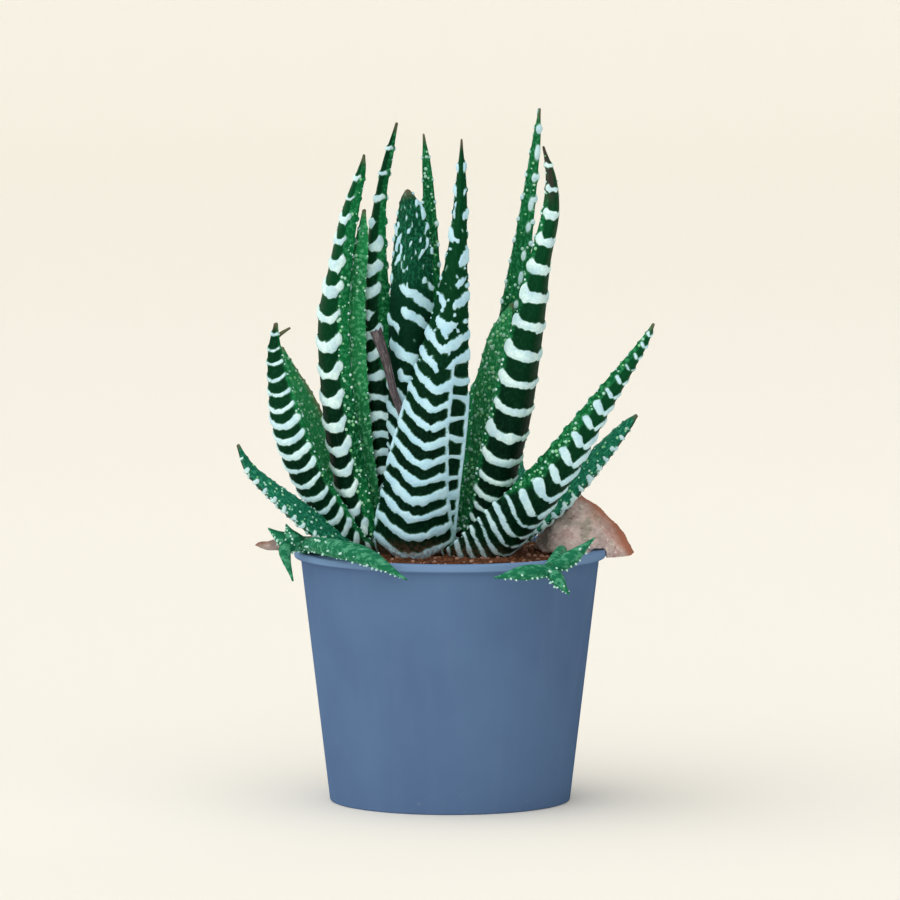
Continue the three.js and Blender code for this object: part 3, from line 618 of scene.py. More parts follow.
def margin_blobs(rng, leaf, line, distance, spread):
    width = line.width(distance)
    place = distance + 2.6 * slow_waves(rng, distance, distance * 0, 17)
    signed = spread * leaf["flank"]
    inset = np.interp(distance / line.length, *zip(*leaf["blob_line"]))
    inset = inset + 0.08 * slow_waves(rng, distance, distance * 0, 9)
    middle = BLOB_PITCH / 2
    near = np.hypot((place % BLOB_PITCH - middle) / BLOB_LENGTH, (signed - inset) * width / 0.8)
    far = np.hypot(((place + 2.6) % BLOB_PITCH - middle) / BLOB_LENGTH, (signed + 0.86) * width / 0.62)
    return leaf["blobs"] * 0.8 * np.maximum(1.0 - near, 0.35 - far)


def margin_bars(rng, leaf, line, distance, spread):
    width = line.width(distance)
    place = distance + 0.8 * slow_waves(rng, distance, spread * width, 9)
    along = np.abs(place % BAR_PITCH - BAR_PITCH / 2) / BAR_HALF
    across = np.maximum(0.8 - np.abs(spread), 0) * width / BAR_HALF
    fuller = np.where(np.sign(spread) == leaf["flank"], 1.0, 0.3)
    faded = 4 * smooth_step(0.93, 0.98, distance / line.length)
    return 0.7 * (fuller - np.hypot(along, across)) - faded


# %% [markdown]
# ## Tubercles
# Between the bands and on the plain inner faces stand single white tubercles, each a flattened bump
# about a millimetre wide or less. They repeat by the hundred, so Geometry Nodes place one small ball at
# many points. Here only the points are chosen: a loose grid over the skin with random shifts and
# gaps, and a row along each margin.

# %% Tubercle places
TUBERCLE_ROWS, TUBERCLE_COLUMNS = 1.45, 1.3
TUBERCLE_RADII = (0.22, 0.55)
MARGIN_ROWS, MARGIN_SPREAD = 3.3, 0.985


def tubercle_places(leaf, line, rng):
    places = []
    for outer, wanted in ((False, leaf["dots"]), (True, leaf["side_dots"])):
        for distance in np.arange(6, line.length - BARE_TIP, TUBERCLE_ROWS):
            half_width = float(line.width(distance))
            for x in np.arange(-half_width + 0.7, half_width - 0.6, TUBERCLE_COLUMNS):
                spread = (x + rng.uniform(-0.7, 0.7)) / half_width
                at = distance + rng.uniform(-0.8, 0.8)
                chance, radius = rng.random(), rng.uniform(*TUBERCLE_RADII)
                across = float(band_place(leaf, line, np.array(at), np.array(spread))[0])
                banded = outer and (abs(across) < 1.1 or not leaf["ends"][int(across > 0)])
                if chance < wanted and abs(spread) < 0.94 and not banded:
                    radius *= leaf["dot_scale"]
                    places.append((at, spread, outer, radius, rng.uniform(0.35, 0.95)))
    for centre in np.arange(8, line.length - 6, MARGIN_ROWS):
        for spread in (-MARGIN_SPREAD, MARGIN_SPREAD):
            at = centre + rng.uniform(-1.3, 1.3)
            if rng.random() < 0.6:
                places.append((at, spread, True, leaf["ticks"] * rng.uniform(0.5, 1.2), 0.1))
    return places


# %% [markdown]
# ## Small tapering bodies
# The leaflets of the young plants, and the dried flap at one leaf's tip, are oval tubes that swell
# and taper along a few stations. They share a few functions.

# %% Small tapering bodies
LEAFLET_ROWS = 60
LEAFLET_AROUND = 24
LEAFLET_THICKNESS = 0.85
RISE = np.array([0.0, 0.0, 1.0])


def tapering_curve(stations):
    stations = np.array(stations, dtype=float)
    t = np.linspace(0, 1, LEAFLET_ROWS)
    centre = spline(stations[:, :3], t, True)
    half = np.maximum(spline(stations[:, 3:], t, False)[:, 0], THINNEST)
    along = unit(np.gradient(centre, axis=0))
    side = unit(np.cross(RISE, along))
    return centre, half, side, np.cross(along, side)


def tapering_body(stations, thickness=1.0):
    centre, half, side, up = tapering_curve(stations)
    angle = np.arange(LEAFLET_AROUND) / LEAFLET_AROUND * math.tau
    wide = half[:, None] * np.cos(angle)
    high = half[:, None] * thickness * np.sin(angle) * (1 + 0.15 * (np.sin(angle) < 0))
    skin = centre[:, None] + side[:, None] * wide[..., None] + up[:, None] * high[..., None]
    return np.vstack([skin.reshape(-1, 3), skin[0].mean(axis=0), skin[-1].mean(axis=0)])


# %% [markdown]
# ## The leaf meshes
# The skin is a fine grid of points, about half a millimetre apart, closed at the root and the tip.
# The tubercle points are added to the same mesh as loose points, each with its own size and
# direction, so that one Geometry Nodes tree can finish the whole leaf.

# %% Build one leaf
ROW_STEP = 0.55
OUTER_POINTS = 40
INNER_POINTS = 16
LEAF_SEED = 100
LAST_ROW = 0.35


def build_leaf(leaf, number):
    rng = np.random.default_rng(LEAF_SEED + number)
    line = LeafLine(leaf)
    outer_spread = np.sin(np.linspace(-math.pi / 2, math.pi / 2, OUTER_POINTS))
    inner_spread = np.sin(np.linspace(math.pi / 2, -math.pi / 2, INNER_POINTS + 2))[1:-1]
    spreads = np.concatenate([outer_spread, inner_spread])
    rows, around = int(line.length / ROW_STEP), len(spreads)
    distance, spread = np.meshgrid(np.linspace(0, line.length - LAST_ROW, rows), spreads, indexing="ij")
    outer = np.broadcast_to(np.arange(around) < OUTER_POINTS, distance.shape)
    skin = leaf_place(line, distance, spread, outer).reshape(-1, 3)
    marks, zone = leaf_marks(leaf, line, distance, spread, outer, rng)
    at, at_spread, at_outer, radius, greener = np.array(tubercle_places(leaf, line, rng), dtype=float).T
    dots = leaf_place(line, at, at_spread, at_outer > 0.5)
    normals = leaf_normal(line, at, at_spread, at_outer > 0.5)

    flap = tapering_body(leaf["flap"]) if "flap" in leaf else np.zeros((0, 3))
    points = np.vstack([skin, skin[:around].mean(axis=0), line.points[-1], flap, dots]) * MM
    faces = grid_faces(rows, around)
    if len(flap):
        faces += body_faces(LEAFLET_ROWS, LEAFLET_AROUND, len(skin) + 2)
    piece = new_object(leaf["name"] + "_skin", points, faces + closing_faces(rows, around))

    share = distance / line.length
    dried = smooth_step(leaf["dry"], leaf["dry"] + 0.08, share) * smooth_step(0.3, -0.35, spread)
    scorched = leaf["scorch"] * smooth_step(-0.3, -1.0, spread) * smooth_step(0.3, 0.45, share)
    place = np.stack([distance, spread * line.width(distance), np.zeros_like(distance)], axis=-1)
    after, before = len(points) - len(skin), len(points) - len(dots)
    store(piece, **{name: padded(values.ravel(), 0, after, rest) for name, values, rest in (
        ("white", marks, -3), ("inner", ~outer * leaf["paleness"], 0), ("banded", zone, 0),
        ("share", share, 1), ("dried", dried, 0), ("scorched", scorched, 0))})
    store(piece, tone=leaf.get("tone", rng.uniform(0.3, 0.7)), cool=leaf["cool"],
          skin_place=padded(place.reshape(-1, 3), 0, after), dot_size=padded(radius * MM, before, 0),
          greener=padded(greener, before, 0), dot_normal=padded(normals, before, 0))
    return piece, len(dots)


# %% [markdown]
# ## A tree that finishes a shape
# Geometry Nodes trees are made once and used on many pieces. One helper makes an empty tree whose named
# inputs come from a table of values. Another puts the tree on a piece, sets the inputs, turns the result
# into a plain mesh and takes the modifier away again, because a finished piece should carry only its own
# mesh.

# %% Shape tree helpers
def shape_tree(name, values):
    tree = bpy.data.node_groups.new(name, "GeometryNodeTree")
    tree.interface.new_socket(name="Geometry", in_out="INPUT", socket_type="NodeSocketGeometry")
    for label, value in values.items():
        kind = "NodeSocketInt" if isinstance(value, int) else "NodeSocketFloat"
        tree.interface.new_socket(name=label, in_out="INPUT", socket_type=kind).default_value = value
    tree.interface.new_socket(name="Geometry", in_out="OUTPUT", socket_type="NodeSocketGeometry")
    nodes = Tree(tree)
    return nodes, nodes.add("NodeGroupInput").outputs


def close_tree(nodes, geometry, material):
    whole = nodes.add("GeometryNodeRealizeInstances", {0: geometry})
    dressed = nodes.add("GeometryNodeSetMaterial", {"Geometry": whole, "Material": material})
    nodes.add("NodeGroupOutput", {0: dressed})


def named(nodes, name, kind="FLOAT"):
    node = nodes.add("GeometryNodeInputNamedAttribute", {"Name": name}, data_type=kind)
    return node.outputs["Attribute"]


def plain_mesh(piece):
    graph = bpy.context.evaluated_depsgraph_get()
    made = bpy.data.meshes.new_from_object(piece.evaluated_get(graph))
    piece.modifiers.clear()
    old = piece.data
    piece.data = made
    bpy.data.meshes.remove(old)
    return made


def finish_shape(piece, tree, values):
    modifier = piece.modifiers.new("shape", "NODES")
    modifier.node_group = tree
    for item in tree.interface.items_tree:
        if item.in_out == "INPUT" and item.name in values:
            modifier[item.identifier] = values[item.name]
    return len(plain_mesh(piece).polygons)


# %% [markdown]
# ## Building a finish
# Every finish is a shader with a base colour, a roughness, a little gloss and a fine bump. Colours are
# built in layers: a tint is laid over the one below where a pattern rises from one value to another.

# %% Finish helpers
def linear(code):
    parts = [int(code[k:k + 2], 16) / 255 for k in (1, 3, 5)]
    return [p / 12.92 if p < 0.04045 else ((p + 0.055) / 1.055) ** 2.4 for p in parts] + [1.0]


def new_material(name):
    material = bpy.data.materials.new(name)
    material.use_nodes = True
    material.node_tree.nodes.clear()
    nodes = Tree(material.node_tree)
    shader = nodes.add("ShaderNodeBsdfPrincipled")
    output = nodes.add("ShaderNodeOutputMaterial")
    material.node_tree.links.new(shader.outputs[0], output.inputs[0])
    return material, nodes, shader


def surface(nodes, shader, colour, roughness, specular, height=None, strength=0.0, depth=0.0):
    for label, value in (("Base Color", colour), ("Roughness", roughness), ("Specular IOR Level", specular)):
        nodes.feed(shader.inputs[label], value)
    if height is not None:
        bump = nodes.add("ShaderNodeBump", {"Height": height, "Strength": strength, "Distance": depth * MM})
        nodes.feed(shader.inputs["Normal"], bump)


def mix(nodes, share, first, second):
    node = nodes.add("ShaderNodeMix", data_type="RGBA")
    colours = [s for s in node.inputs if s.type == "RGBA"]
    nodes.feed(node.inputs[0], share)
    for socket, value in zip(colours, (first, second)):
        nodes.feed(socket, linear(value) if isinstance(value, str) else value)
    return next(s for s in node.outputs if s.type == "RGBA")


def layered(nodes, colour, layers):
    for pattern, low, high, most, tint in layers:
        colour = mix(nodes, nodes.step(pattern, low, high, 0.0, most), colour, tint)
    return colour


def noise(nodes, place, scale, detail=3.0, roughness=0.5):
    return nodes.add("ShaderNodeTexNoise", {"Vector": place, "Scale": scale, "Detail": detail,
                                            "Roughness": roughness}).outputs["Fac"]


def attribute(nodes, name, output="Fac"):
    return nodes.add("ShaderNodeAttribute", attribute_name=name).outputs[output]


def object_place(nodes):
    return nodes.add("ShaderNodeTexCoord").outputs["Object"]


def height_in(nodes, place):
    return nodes.add("ShaderNodeSeparateXYZ", {0: place}).outputs["Z"]


# %% [markdown]
# ## Leaf skin
# A haworthia's leaf is deep green, almost black in the low light between its bands, and lighter on
# its inner face. The white bands are tubercles: matte, finely beaded, faintly blue and greenish at their
# feet. One tree makes every kind of leaf; only its colours change. It reads the marks stored on the skin,
# so the colour follows the relief exactly, and fine grain comes from the skin's own millimetres. The
# green has broad patches, lines along the leaf and a light mottling. Tips, a dried part and a scorched
# edge are brown, and soil dust lies on the lowest part.

# %% Leaf skin material
DUST_TOP, DUST_FOOT = 80.5 * MM, 74.5 * MM


def leaf_skin(name, dark, mid, inner, light, band, shade):
    material, nodes, shader = new_material(name)
    place = object_place(nodes)
    white, share, face = (attribute(nodes, label) for label in ("white", "share", "inner"))
    skin_place = attribute(nodes, "skin_place", "Vector")
    broad = noise(nodes, place, 45.0, 2.0)
    fine = noise(nodes, place, 900.0)

    # The leaf's own deep green, kept almost black across the band zone as painted shade between the bands.
    outside_band_shade = nodes.math("SUBTRACT", 1.0, nodes.times(attribute(nodes, "banded"), 0.93))
    patchy = nodes.times(nodes.step(broad, 0.35, 0.7, 0.35, 1.0), outside_band_shade)
    upward = nodes.times(nodes.step(share, 0.3, 0.9, 0.0, 0.46), attribute(nodes, "tone"))
    outer_green = mix(nodes, nodes.plus(patchy, upward), dark, mid)
    inner_green = mix(nodes, nodes.step(broad, 0.3, 0.75), inner, mid)
    green = mix(nodes, face, outer_green, inner_green)
    streaks = noise(nodes, nodes.vector("MULTIPLY", skin_place, (0.1, 1.4, 1.0)), 1.0, 4.0, 0.6)
    lined = nodes.times(nodes.step(streaks, 0.3, 0.75, 0.0, 0.3), nodes.plus(outside_band_shade, 0.1))
    green = mix(nodes, lined, green, mid)
    cells = noise(nodes, nodes.vector("MULTIPLY", skin_place, (0.8, 1.3, 1.3)), 1.0, 2.0, 0.6)
    mottled = nodes.times(nodes.step(cells, 0.46, 0.66), nodes.times(outside_band_shade, 0.5))
    green = mix(nodes, mottled, green, light)

    # The shaded foot, the tip, and the dried and scorched parts.
    base = layered(nodes, green, [(share, 0.16, 0.0, 0.5, shade), (share, 0.965, 1.0, 0.8, "#6d6450")])
    base = mix(nodes, nodes.times(attribute(nodes, "dried"), 0.85), base, "#3b3232")
    base = mix(nodes, attribute(nodes, "scorched"), base, "#967a60")

    # The bands and tubercles, with a greenish foot and a blue cast that is painted shade on shaded leaves,
    # and the dust.
    ragged = nodes.plus(white, nodes.times(nodes.math("SUBTRACT", fine, 0.5), 0.35))
    foot = nodes.times(nodes.step(ragged, -0.3, 0.1), 0.35)
    crest = nodes.step(ragged, -0.06, 0.22)
    beads = nodes.add("ShaderNodeTexVoronoi", {"Vector": place, "Scale": 1050.0}).outputs["Distance"]
    tint = layered(nodes, band, [(noise(nodes, place, 260.0, 2.0), 0.35, 0.7, 1.0, "#c4e2ee"),
                                 (beads, 0.3, 0.75, 0.27, "#8fd0c8")])
    # Leaves that stand in shade get bluer bands here: painted shade.
    tint = mix(nodes, attribute(nodes, "cool"), tint, "#a4d8f4")
    tint = mix(nodes, attribute(nodes, "greener"), tint, "#7fce86")
    colour = mix(nodes, crest, mix(nodes, foot, base, "#6fb08f"), tint)
    dusty = nodes.times(nodes.step(height_in(nodes, place), DUST_TOP, DUST_FOOT), nodes.step(fine, 0.3, 0.62))
    dusty = nodes.times(dusty, nodes.step(share, 0.3, 0.1))
    colour = mix(nodes, nodes.times(dusty, 0.7), colour, "#6d5142")

    rounded = nodes.times(nodes.times(beads, crest), -1.2)
    grain = nodes.plus(nodes.plus(nodes.times(fine, 0.5), streaks), rounded)
    surface(nodes, shader, colour, nodes.step(ragged, -0.2, 0.3, 0.5, 0.62), 0.03, grain, 0.25, 0.4)
    return material


SKINS = {
    "outer": leaf_skin("leaf_skin_dark", "#010f0c", "#0e6838", "#22824f", "#48a972", "#e6ffff", "#16241c"),
    "green": leaf_skin("leaf_skin_green", "#0a4428", "#208048", "#329a5e", "#74d09c", "#e6fffa", "#34482a"),
    "low": leaf_skin("leaf_skin_teal", "#073526", "#125f46", "#1a7256", "#4bb08c", "#e4fffa", "#2c4032"),
    "blunt": leaf_skin("leaf_skin_blunt", "#02180f", "#0a442e", "#0f5038", "#2f8c68", "#e0ffff", "#2c4032"),
    "offset": leaf_skin("leaf_skin_offset", "#08392a", "#1a6a4a", "#277f5a", "#6abd98", "#e0ffff", "#2c4032"),
}
print("leaf skins:", ", ".join(SKINS))


# %% [markdown]
# ## Raising the bands
# The tree lifts every skin point along its normal by a smooth step of its mark, which gives each band
# a rounded crest that fades into the green. At the loose points it places one small ball, with few
# sides because it is repeated so often, flattened and turned to stand on the skin. The lift is a named
# input, so all the bands of a leaf can be made bolder or flatter with one number.

# %% Band relief tree
RELIEF_VALUES = {"Band lift": 0.62 * MM, "Ball sides": 10, "Ball height": 0.6}
BALL_RINGS = 4


def relief_tree(name, material):
    nodes, inputs = shape_tree(name, RELIEF_VALUES)
    is_dot = nodes.add("FunctionNodeCompare", {0: named(nodes, "dot_size"), 1: 0.0},
                       data_type="FLOAT", operation="GREATER_THAN").outputs[0]
    parts = nodes.add("GeometryNodeSeparateGeometry", {"Geometry": inputs["Geometry"], "Selection": is_dot},
                      domain="POINT")
    lift = nodes.times(nodes.step(named(nodes, "white"), -0.3, 0.6), inputs["Band lift"])
    normal = nodes.add("GeometryNodeInputNormal")
    raised = nodes.add("GeometryNodeSetPosition", {"Geometry": parts.outputs["Inverted"],
                                                   "Offset": nodes.vector("SCALE", normal, scale=lift)})
    ball = nodes.add("GeometryNodeMeshUVSphere", {"Radius": 1.0, "Segments": inputs["Ball sides"],
                                                  "Rings": BALL_RINGS})
    white_ball = nodes.add("GeometryNodeStoreNamedAttribute", {"Geometry": ball.outputs["Mesh"],
                                                               "Name": "white", "Value": 2.0},
                           data_type="FLOAT", domain="POINT")
    smooth_ball = nodes.add("GeometryNodeSetShadeSmooth", {0: white_ball})
    turn = nodes.add("FunctionNodeAlignRotationToVector",
                     {"Vector": named(nodes, "dot_normal", "FLOAT_VECTOR")}, axis="Z")
    size = named(nodes, "dot_size")
    scale = nodes.add("ShaderNodeCombineXYZ", {"X": size, "Y": size,
                                               "Z": nodes.times(size, inputs["Ball height"])})
    points = nodes.add("GeometryNodeMeshToPoints", {"Mesh": parts.outputs["Selection"]})
    balls = nodes.add("GeometryNodeInstanceOnPoints", {"Points": points, "Instance": smooth_ball,
                                                       "Rotation": turn, "Scale": scale})
    together = nodes.add("GeometryNodeJoinGeometry")
    nodes.tree.links.new(first_output(balls), together.inputs[0])
    nodes.tree.links.new(first_output(raised), together.inputs[0])
    close_tree(nodes, together, material)
    return nodes.tree


RELIEF = {kind: relief_tree("raised_bands_" + kind, material) for kind, material in SKINS.items()}
print("band relief trees:", len(RELIEF))


# %% [markdown]
# ## Grow all the leaves
# Each leaf is built, finished by the tree for its skin, and then stands for the solid of the same
# name.

# %% Grow the leaves
def stand_for(piece, node):
    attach(piece, "root")
    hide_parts(node)


leaf_faces = 0
tubercles = 0
for number, leaf in enumerate(LEAVES):
    leaf_piece, dot_count = build_leaf(leaf, number)
    leaf_faces += finish_shape(leaf_piece, RELIEF[leaf["skin"]], RELIEF_VALUES)
    tubercles += dot_count
    stand_for(leaf_piece, leaf["name"])
print("leaves:", len(LEAVES), "faces:", leaf_faces, "tubercles:", tubercles)


# %% [markdown]
# ## The offsets
# Two small young plants hang over the rim on short runners. Their leaflets are too small for bands
# and carry rows of white tubercles along both sides, most of them low down, where they stand out like
# small teeth. A leaflet is an oval tube with a pointed end; the same tree as for the leaves stands the
# tubercles on it.

# %% Offset leaflets
GRAIN_SCALE = 0.55
OFFSET_SEED = 400
LONG_LEAFLET = 20
TOOTH_ANGLES, TOOTH_CHANCES = [-1.15, -0.75, -0.2, 0.6], [0.45, 0.33, 0.14, 0.08]
TOOTH_RADII = (0.22, 0.44)
TOOTH_HEIGHT = 2.4


def build_offset(offset, number):
    rng = np.random.default_rng(OFFSET_SEED + number)
    bodies, faces, share, dots, sizes, normals = [], [], [], [], [], []
    for k, leaflet in enumerate([offset["runner"], *offset["leaflets"]]):
        faces += body_faces(LEAFLET_ROWS, LEAFLET_AROUND, sum(len(body) for body in bodies))
        bodies.append(tapering_body(leaflet, 1.0 if k == 0 else LEAFLET_THICKNESS))
        share += [np.repeat(np.linspace(0.25, 0.97, LEAFLET_ROWS), LEAFLET_AROUND), [0.25], [1.0]]
        if k == 0:
            continue
        centre, half, side, up = tapering_curve(leaflet)
        long = np.linalg.norm(centre[-1] - centre[0]) > LONG_LEAFLET
        for row in range(4, LEAFLET_ROWS - 3, 2 if long else 5):
            for flank in (-1, 1):
                down = rng.choice(TOOTH_ANGLES, p=TOOTH_CHANCES)
                out = side[row] * flank * math.cos(down) + up[row] * math.sin(down)
                reach = math.hypot(math.cos(down), LEAFLET_THICKNESS * math.sin(down))
                dots.append(centre[row] + out * half[row] * reach)
                normals.append(out)
                sizes.append(rng.uniform(*TOOTH_RADII) * min(1, 0.3 + 0.7 * half[row] / 1.5))
    points = np.vstack([*bodies, dots]) * MM
    piece = new_object(offset["name"] + "_plantlets", points, faces)
    before = len(points) - len(dots)
    store(piece, share=np.concatenate([*share, np.ones(len(dots))]), white=-3, inner=0.6, tone=0.6,
          greener=0.25, dot_size=padded(sizes, before, 0) * MM, dot_normal=padded(normals, before, 0),
          skin_place=points / MM * GRAIN_SCALE)
    return piece


for number, offset in enumerate(OFFSETS):
    plantlets = build_offset(offset, number)
    count = finish_shape(plantlets, RELIEF["offset"],
                         {**RELIEF_VALUES, "Band lift": 0.0, "Ball height": TOOTH_HEIGHT})
    stand_for(plantlets, offset["name"])
    print(offset["name"], "faces:", count)


# %% [markdown]
# ## The crown
# At the heart the youngest leaf is still furled into a spear, paler than the rest, on the short stem
# that the leaves grow from. It is a turned shape whose radius swells a little along a spiral, which
# is the free margin of the rolled leaf.

# %% The crown
CROWN_ROWS, CROWN_AROUND = 120, 72
CROWN_HEIGHTS, CROWN_SHARES = (78.0, 86.0, 94.0), (1.0, 0.7, 0.4)
WINDING = 0.16
FREE_MARGIN = 0.12


def build_crown():
    low, high = (np.array(corner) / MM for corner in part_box("crown"))
    x, y = (low + high)[:2] / 2
    bottom, top = low[2], high[2]
    radius = (high[0] - low[0]) / 2
    heights = [bottom, bottom + 0.6, *CROWN_HEIGHTS, top - 0.4]
    radii = [radius - 0.6, radius, *(radius * share for share in CROWN_SHARES), 0.3]
    z = np.linspace(bottom, top - 0.4, CROWN_ROWS)[:, None]
    angle = np.arange(CROWN_AROUND) / CROWN_AROUND * math.tau
    turn = (angle - z * WINDING) % math.tau
    swell = 1 - FREE_MARGIN * (smooth_step(0, 0.5, turn) - smooth_step(5.9, 6.28, turn)) - 0.02
    reach = np.interp(z, heights, radii) * swell
    skin = np.stack([x + reach * np.cos(angle), y + reach * np.sin(angle),
                     np.broadcast_to(z, reach.shape)], axis=-1)
    piece = new_body("crown_spear", skin, [x, y, bottom], [x, y, top])
    store(piece, share=0.5, white=-3, inner=1, tone=0.8)
    piece.data.materials.append(SKINS["green"])
    return piece


stand_for(build_crown(), "crown")


# %% [markdown]
# ## The dry stalk
# One old flower stalk was snapped off and has dried. Dry stalks shrink round their fibres, so the
# tube is ribbed, and the broken end is thicker and frayed. Its path repeats the solid's points.

# %% The dry stalk's shape
STALK_PATH = [(-8.6, -7.4, 84), (-11.6, -15.2, 100), (-13.8, -17.2, 114), (-16.6, -17.8, 123),
              (-18.8, -17.8, 132), (-21.6, -17.4, 140.3)]
STALK_RADIUS = 1.1
STALK_ROWS = 130
STALK_AROUND = 42
STALK_SEED = 7
STALK_LENGTH = 60
FIBRE_RADIUS = 3
THROAT = 0.6


def build_stalk():
    rng = np.random.default_rng(STALK_SEED)
    share = np.linspace(0, 1, STALK_ROWS)
    centre = spline(np.array(STALK_PATH, dtype=float), share, True)
    along = unit(np.gradient(centre, axis=0))
    side = unit(np.cross(np.array([0.0, 1.0, 0.0]), along))
    front = np.cross(along, side)
    angle = np.arange(STALK_AROUND) / STALK_AROUND * math.tau
    ribs = 1 + 0.1 * np.sin(7 * angle[None] + 4 * share[:, None]) + 0.05 * np.sin(16 * angle[None])
    knots = 1 + 0.12 * lattice_noise(rng, 1, share * STALK_LENGTH, 0, 5.0)[:, None]
    radius = STALK_RADIUS * (0.85 + 0.75 * share[:, None] ** 3) * ribs * knots * 0.95
    skin = centre[:, None] + side[:, None] * (radius * np.cos(angle))[..., None]
    skin = skin + front[:, None] * (radius * np.sin(angle))[..., None]
    fray = rng.uniform(-0.5, 0.9, STALK_AROUND)
    skin[-1] += along[-1] * fray[:, None]
    skin[-2] += along[-1] * fray[:, None] * 0.5
    piece = new_body("stalk_stub", skin, centre[0], centre[-1] - along[-1] * THROAT)
    fibre = [np.repeat(share * STALK_LENGTH, STALK_AROUND),
             np.tile(np.cos(angle) * FIBRE_RADIUS, STALK_ROWS),
             np.tile(np.sin(angle) * FIBRE_RADIUS, STALK_ROWS)]
    store(piece, fibre=padded(np.stack(fibre, axis=-1), 0, 2))
    return piece


# %% [markdown]
# The dried stalk is greyish brown with a purple cast, with darker lines between its fibres. The
# pattern is a noise stretched along the stalk, on the coordinates stored with the shape.

# %% The dry stalk's finish
def dry_fibre():
    material, nodes, shader = new_material("dry_fibre")
    fibre = attribute(nodes, "fibre", "Vector")
    lines = noise(nodes, nodes.vector("MULTIPLY", fibre, (0.12, 1.6, 1.6)), 1.0, 5.0, 0.65)
    spots = noise(nodes, fibre, 0.5, 3.0)
    colour = mix(nodes, nodes.step(lines, 0.35, 0.65), "#332d31", "#6a6268")
    colour = layered(nodes, colour, [(spots, 0.5, 0.75, 0.7, "#857c7c")])
    surface(nodes, shader, colour, 0.9, 0.25, lines, 0.6, 0.6)
    return material


stalk = build_stalk()
stalk.data.materials.append(dry_fibre())
stand_for(stalk, "dry_stalk")
print("stalk faces:", len(stalk.data.polygons))


# %% [markdown]
# ## The pot's finish
# The pot is plain blue plastic, quite matte. Moulded plastic is never perfectly even: it has a very
# fine grain, slow changes of gloss and faint scuffs low on the wall. Its rim is painted paler, as a
# painted highlight along the lip. The height in the object's own coordinates tells rim from wall,
# so the pot's sizes are named first.

# %% The pot's finish
POT = dict(height=74.5, base=35.5, body=44.1, wall=1.6, floor=2.0, lip=46.0, lip_height=2.3, opening=41.9,
           foot=0.7)
LIP_FOOT = POT["height"] - POT["lip_height"]
SCUFF_HEIGHT = 14 * MM


def pot_plastic():
    material, nodes, shader = new_material("matte_blue_plastic")
    place = object_place(nodes)
    height = height_in(nodes, place)
    grain = noise(nodes, place, 2600.0, 2.0)
    cloud = noise(nodes, place, 30.0, 3.0)
    flow = noise(nodes, nodes.vector("MULTIPLY", place, (1.0, 1.0, 0.12)), 160.0, 3.0)
    rim = nodes.step(height, LIP_FOOT * MM, (LIP_FOOT + 0.8) * MM)
    wall = mix(nodes, nodes.step(cloud, 0.3, 0.7), "#566f95", "#5b769c")
    wall = layered(nodes, wall, [(flow, 0.45, 0.8, 0.25, "#657ea1")])
    scuffs = nodes.times(nodes.step(noise(nodes, place, 420.0, 5.0, 0.7), 0.6, 0.72),
                         nodes.step(height, SCUFF_HEIGHT, 0.0))
    wall = mix(nodes, nodes.times(scuffs, 0.3), wall, "#8aa0b6")
    # The lip is painted paler here: a painted highlight along the rim.
    colour = mix(nodes, rim, wall, "#7391b8")
    skin = nodes.plus(nodes.times(grain, 0.4), nodes.times(flow, 0.6))
    surface(nodes, shader, colour, nodes.step(cloud, 0.3, 0.7, 0.6, 0.7), 0.0, skin, 0.12, 0.3)
    return material


POT_FINISH = pot_plastic()


# %% [markdown]
# ## Turning the pot
# A pot is a turned form: one outline swept round an axis. The outline is drawn as a few corners from
# the named sizes: the floor with its low foot ring, the wall, the lip, and the inside.

# %% Pot outline
AXIS = 0.005


def pot_outline():
    return [
        (AXIS, POT["foot"]), (POT["base"] - 3.5, POT["foot"]), (POT["base"] - 2.7, 0), (POT["base"], 0),
        (POT["body"], LIP_FOOT), (POT["lip"], LIP_FOOT),
        (POT["lip"], POT["height"]), (POT["opening"], POT["height"]),
        (POT["body"] - POT["wall"] - 0.6, LIP_FOOT - 2), (POT["base"] - POT["wall"], POT["floor"]),
        (AXIS, POT["floor"]),
    ]


def outline_object(name, corners):
    # Heights are negative here, because sweeping along a circle hangs an outline upside down.
    points = [(x * MM, -z * MM, 0) for x, z in corners]
    mesh = bpy.data.meshes.new(name)
    mesh.from_pydata(points, [(k, k + 1) for k in range(len(points) - 1)], [])
    return link(name, mesh)


# %% [markdown]
# The tree rounds the corners with a fillet, sweeps the outline round a small circle, closes the floor at
# the axis, and drills the ring of drain holes, whose number and size are inputs.

# %% The turning tree
CORNER_STEPS = 5
DRILL_SIDES, DRILL_DEPTH = 40, 20 * MM
SEAM_GAP = 0.03 * MM
WELD, SLIVER = 1e-6, 1e-7
SHARP_ANGLE = math.radians(38)
POT_VALUES = {"Corner radius": 0.6 * MM, "Sides": 256, "Axis radius": AXIS * MM,
              "Hole count": 6, "Hole radius": 3 * MM, "Hole ring": 22 * MM}


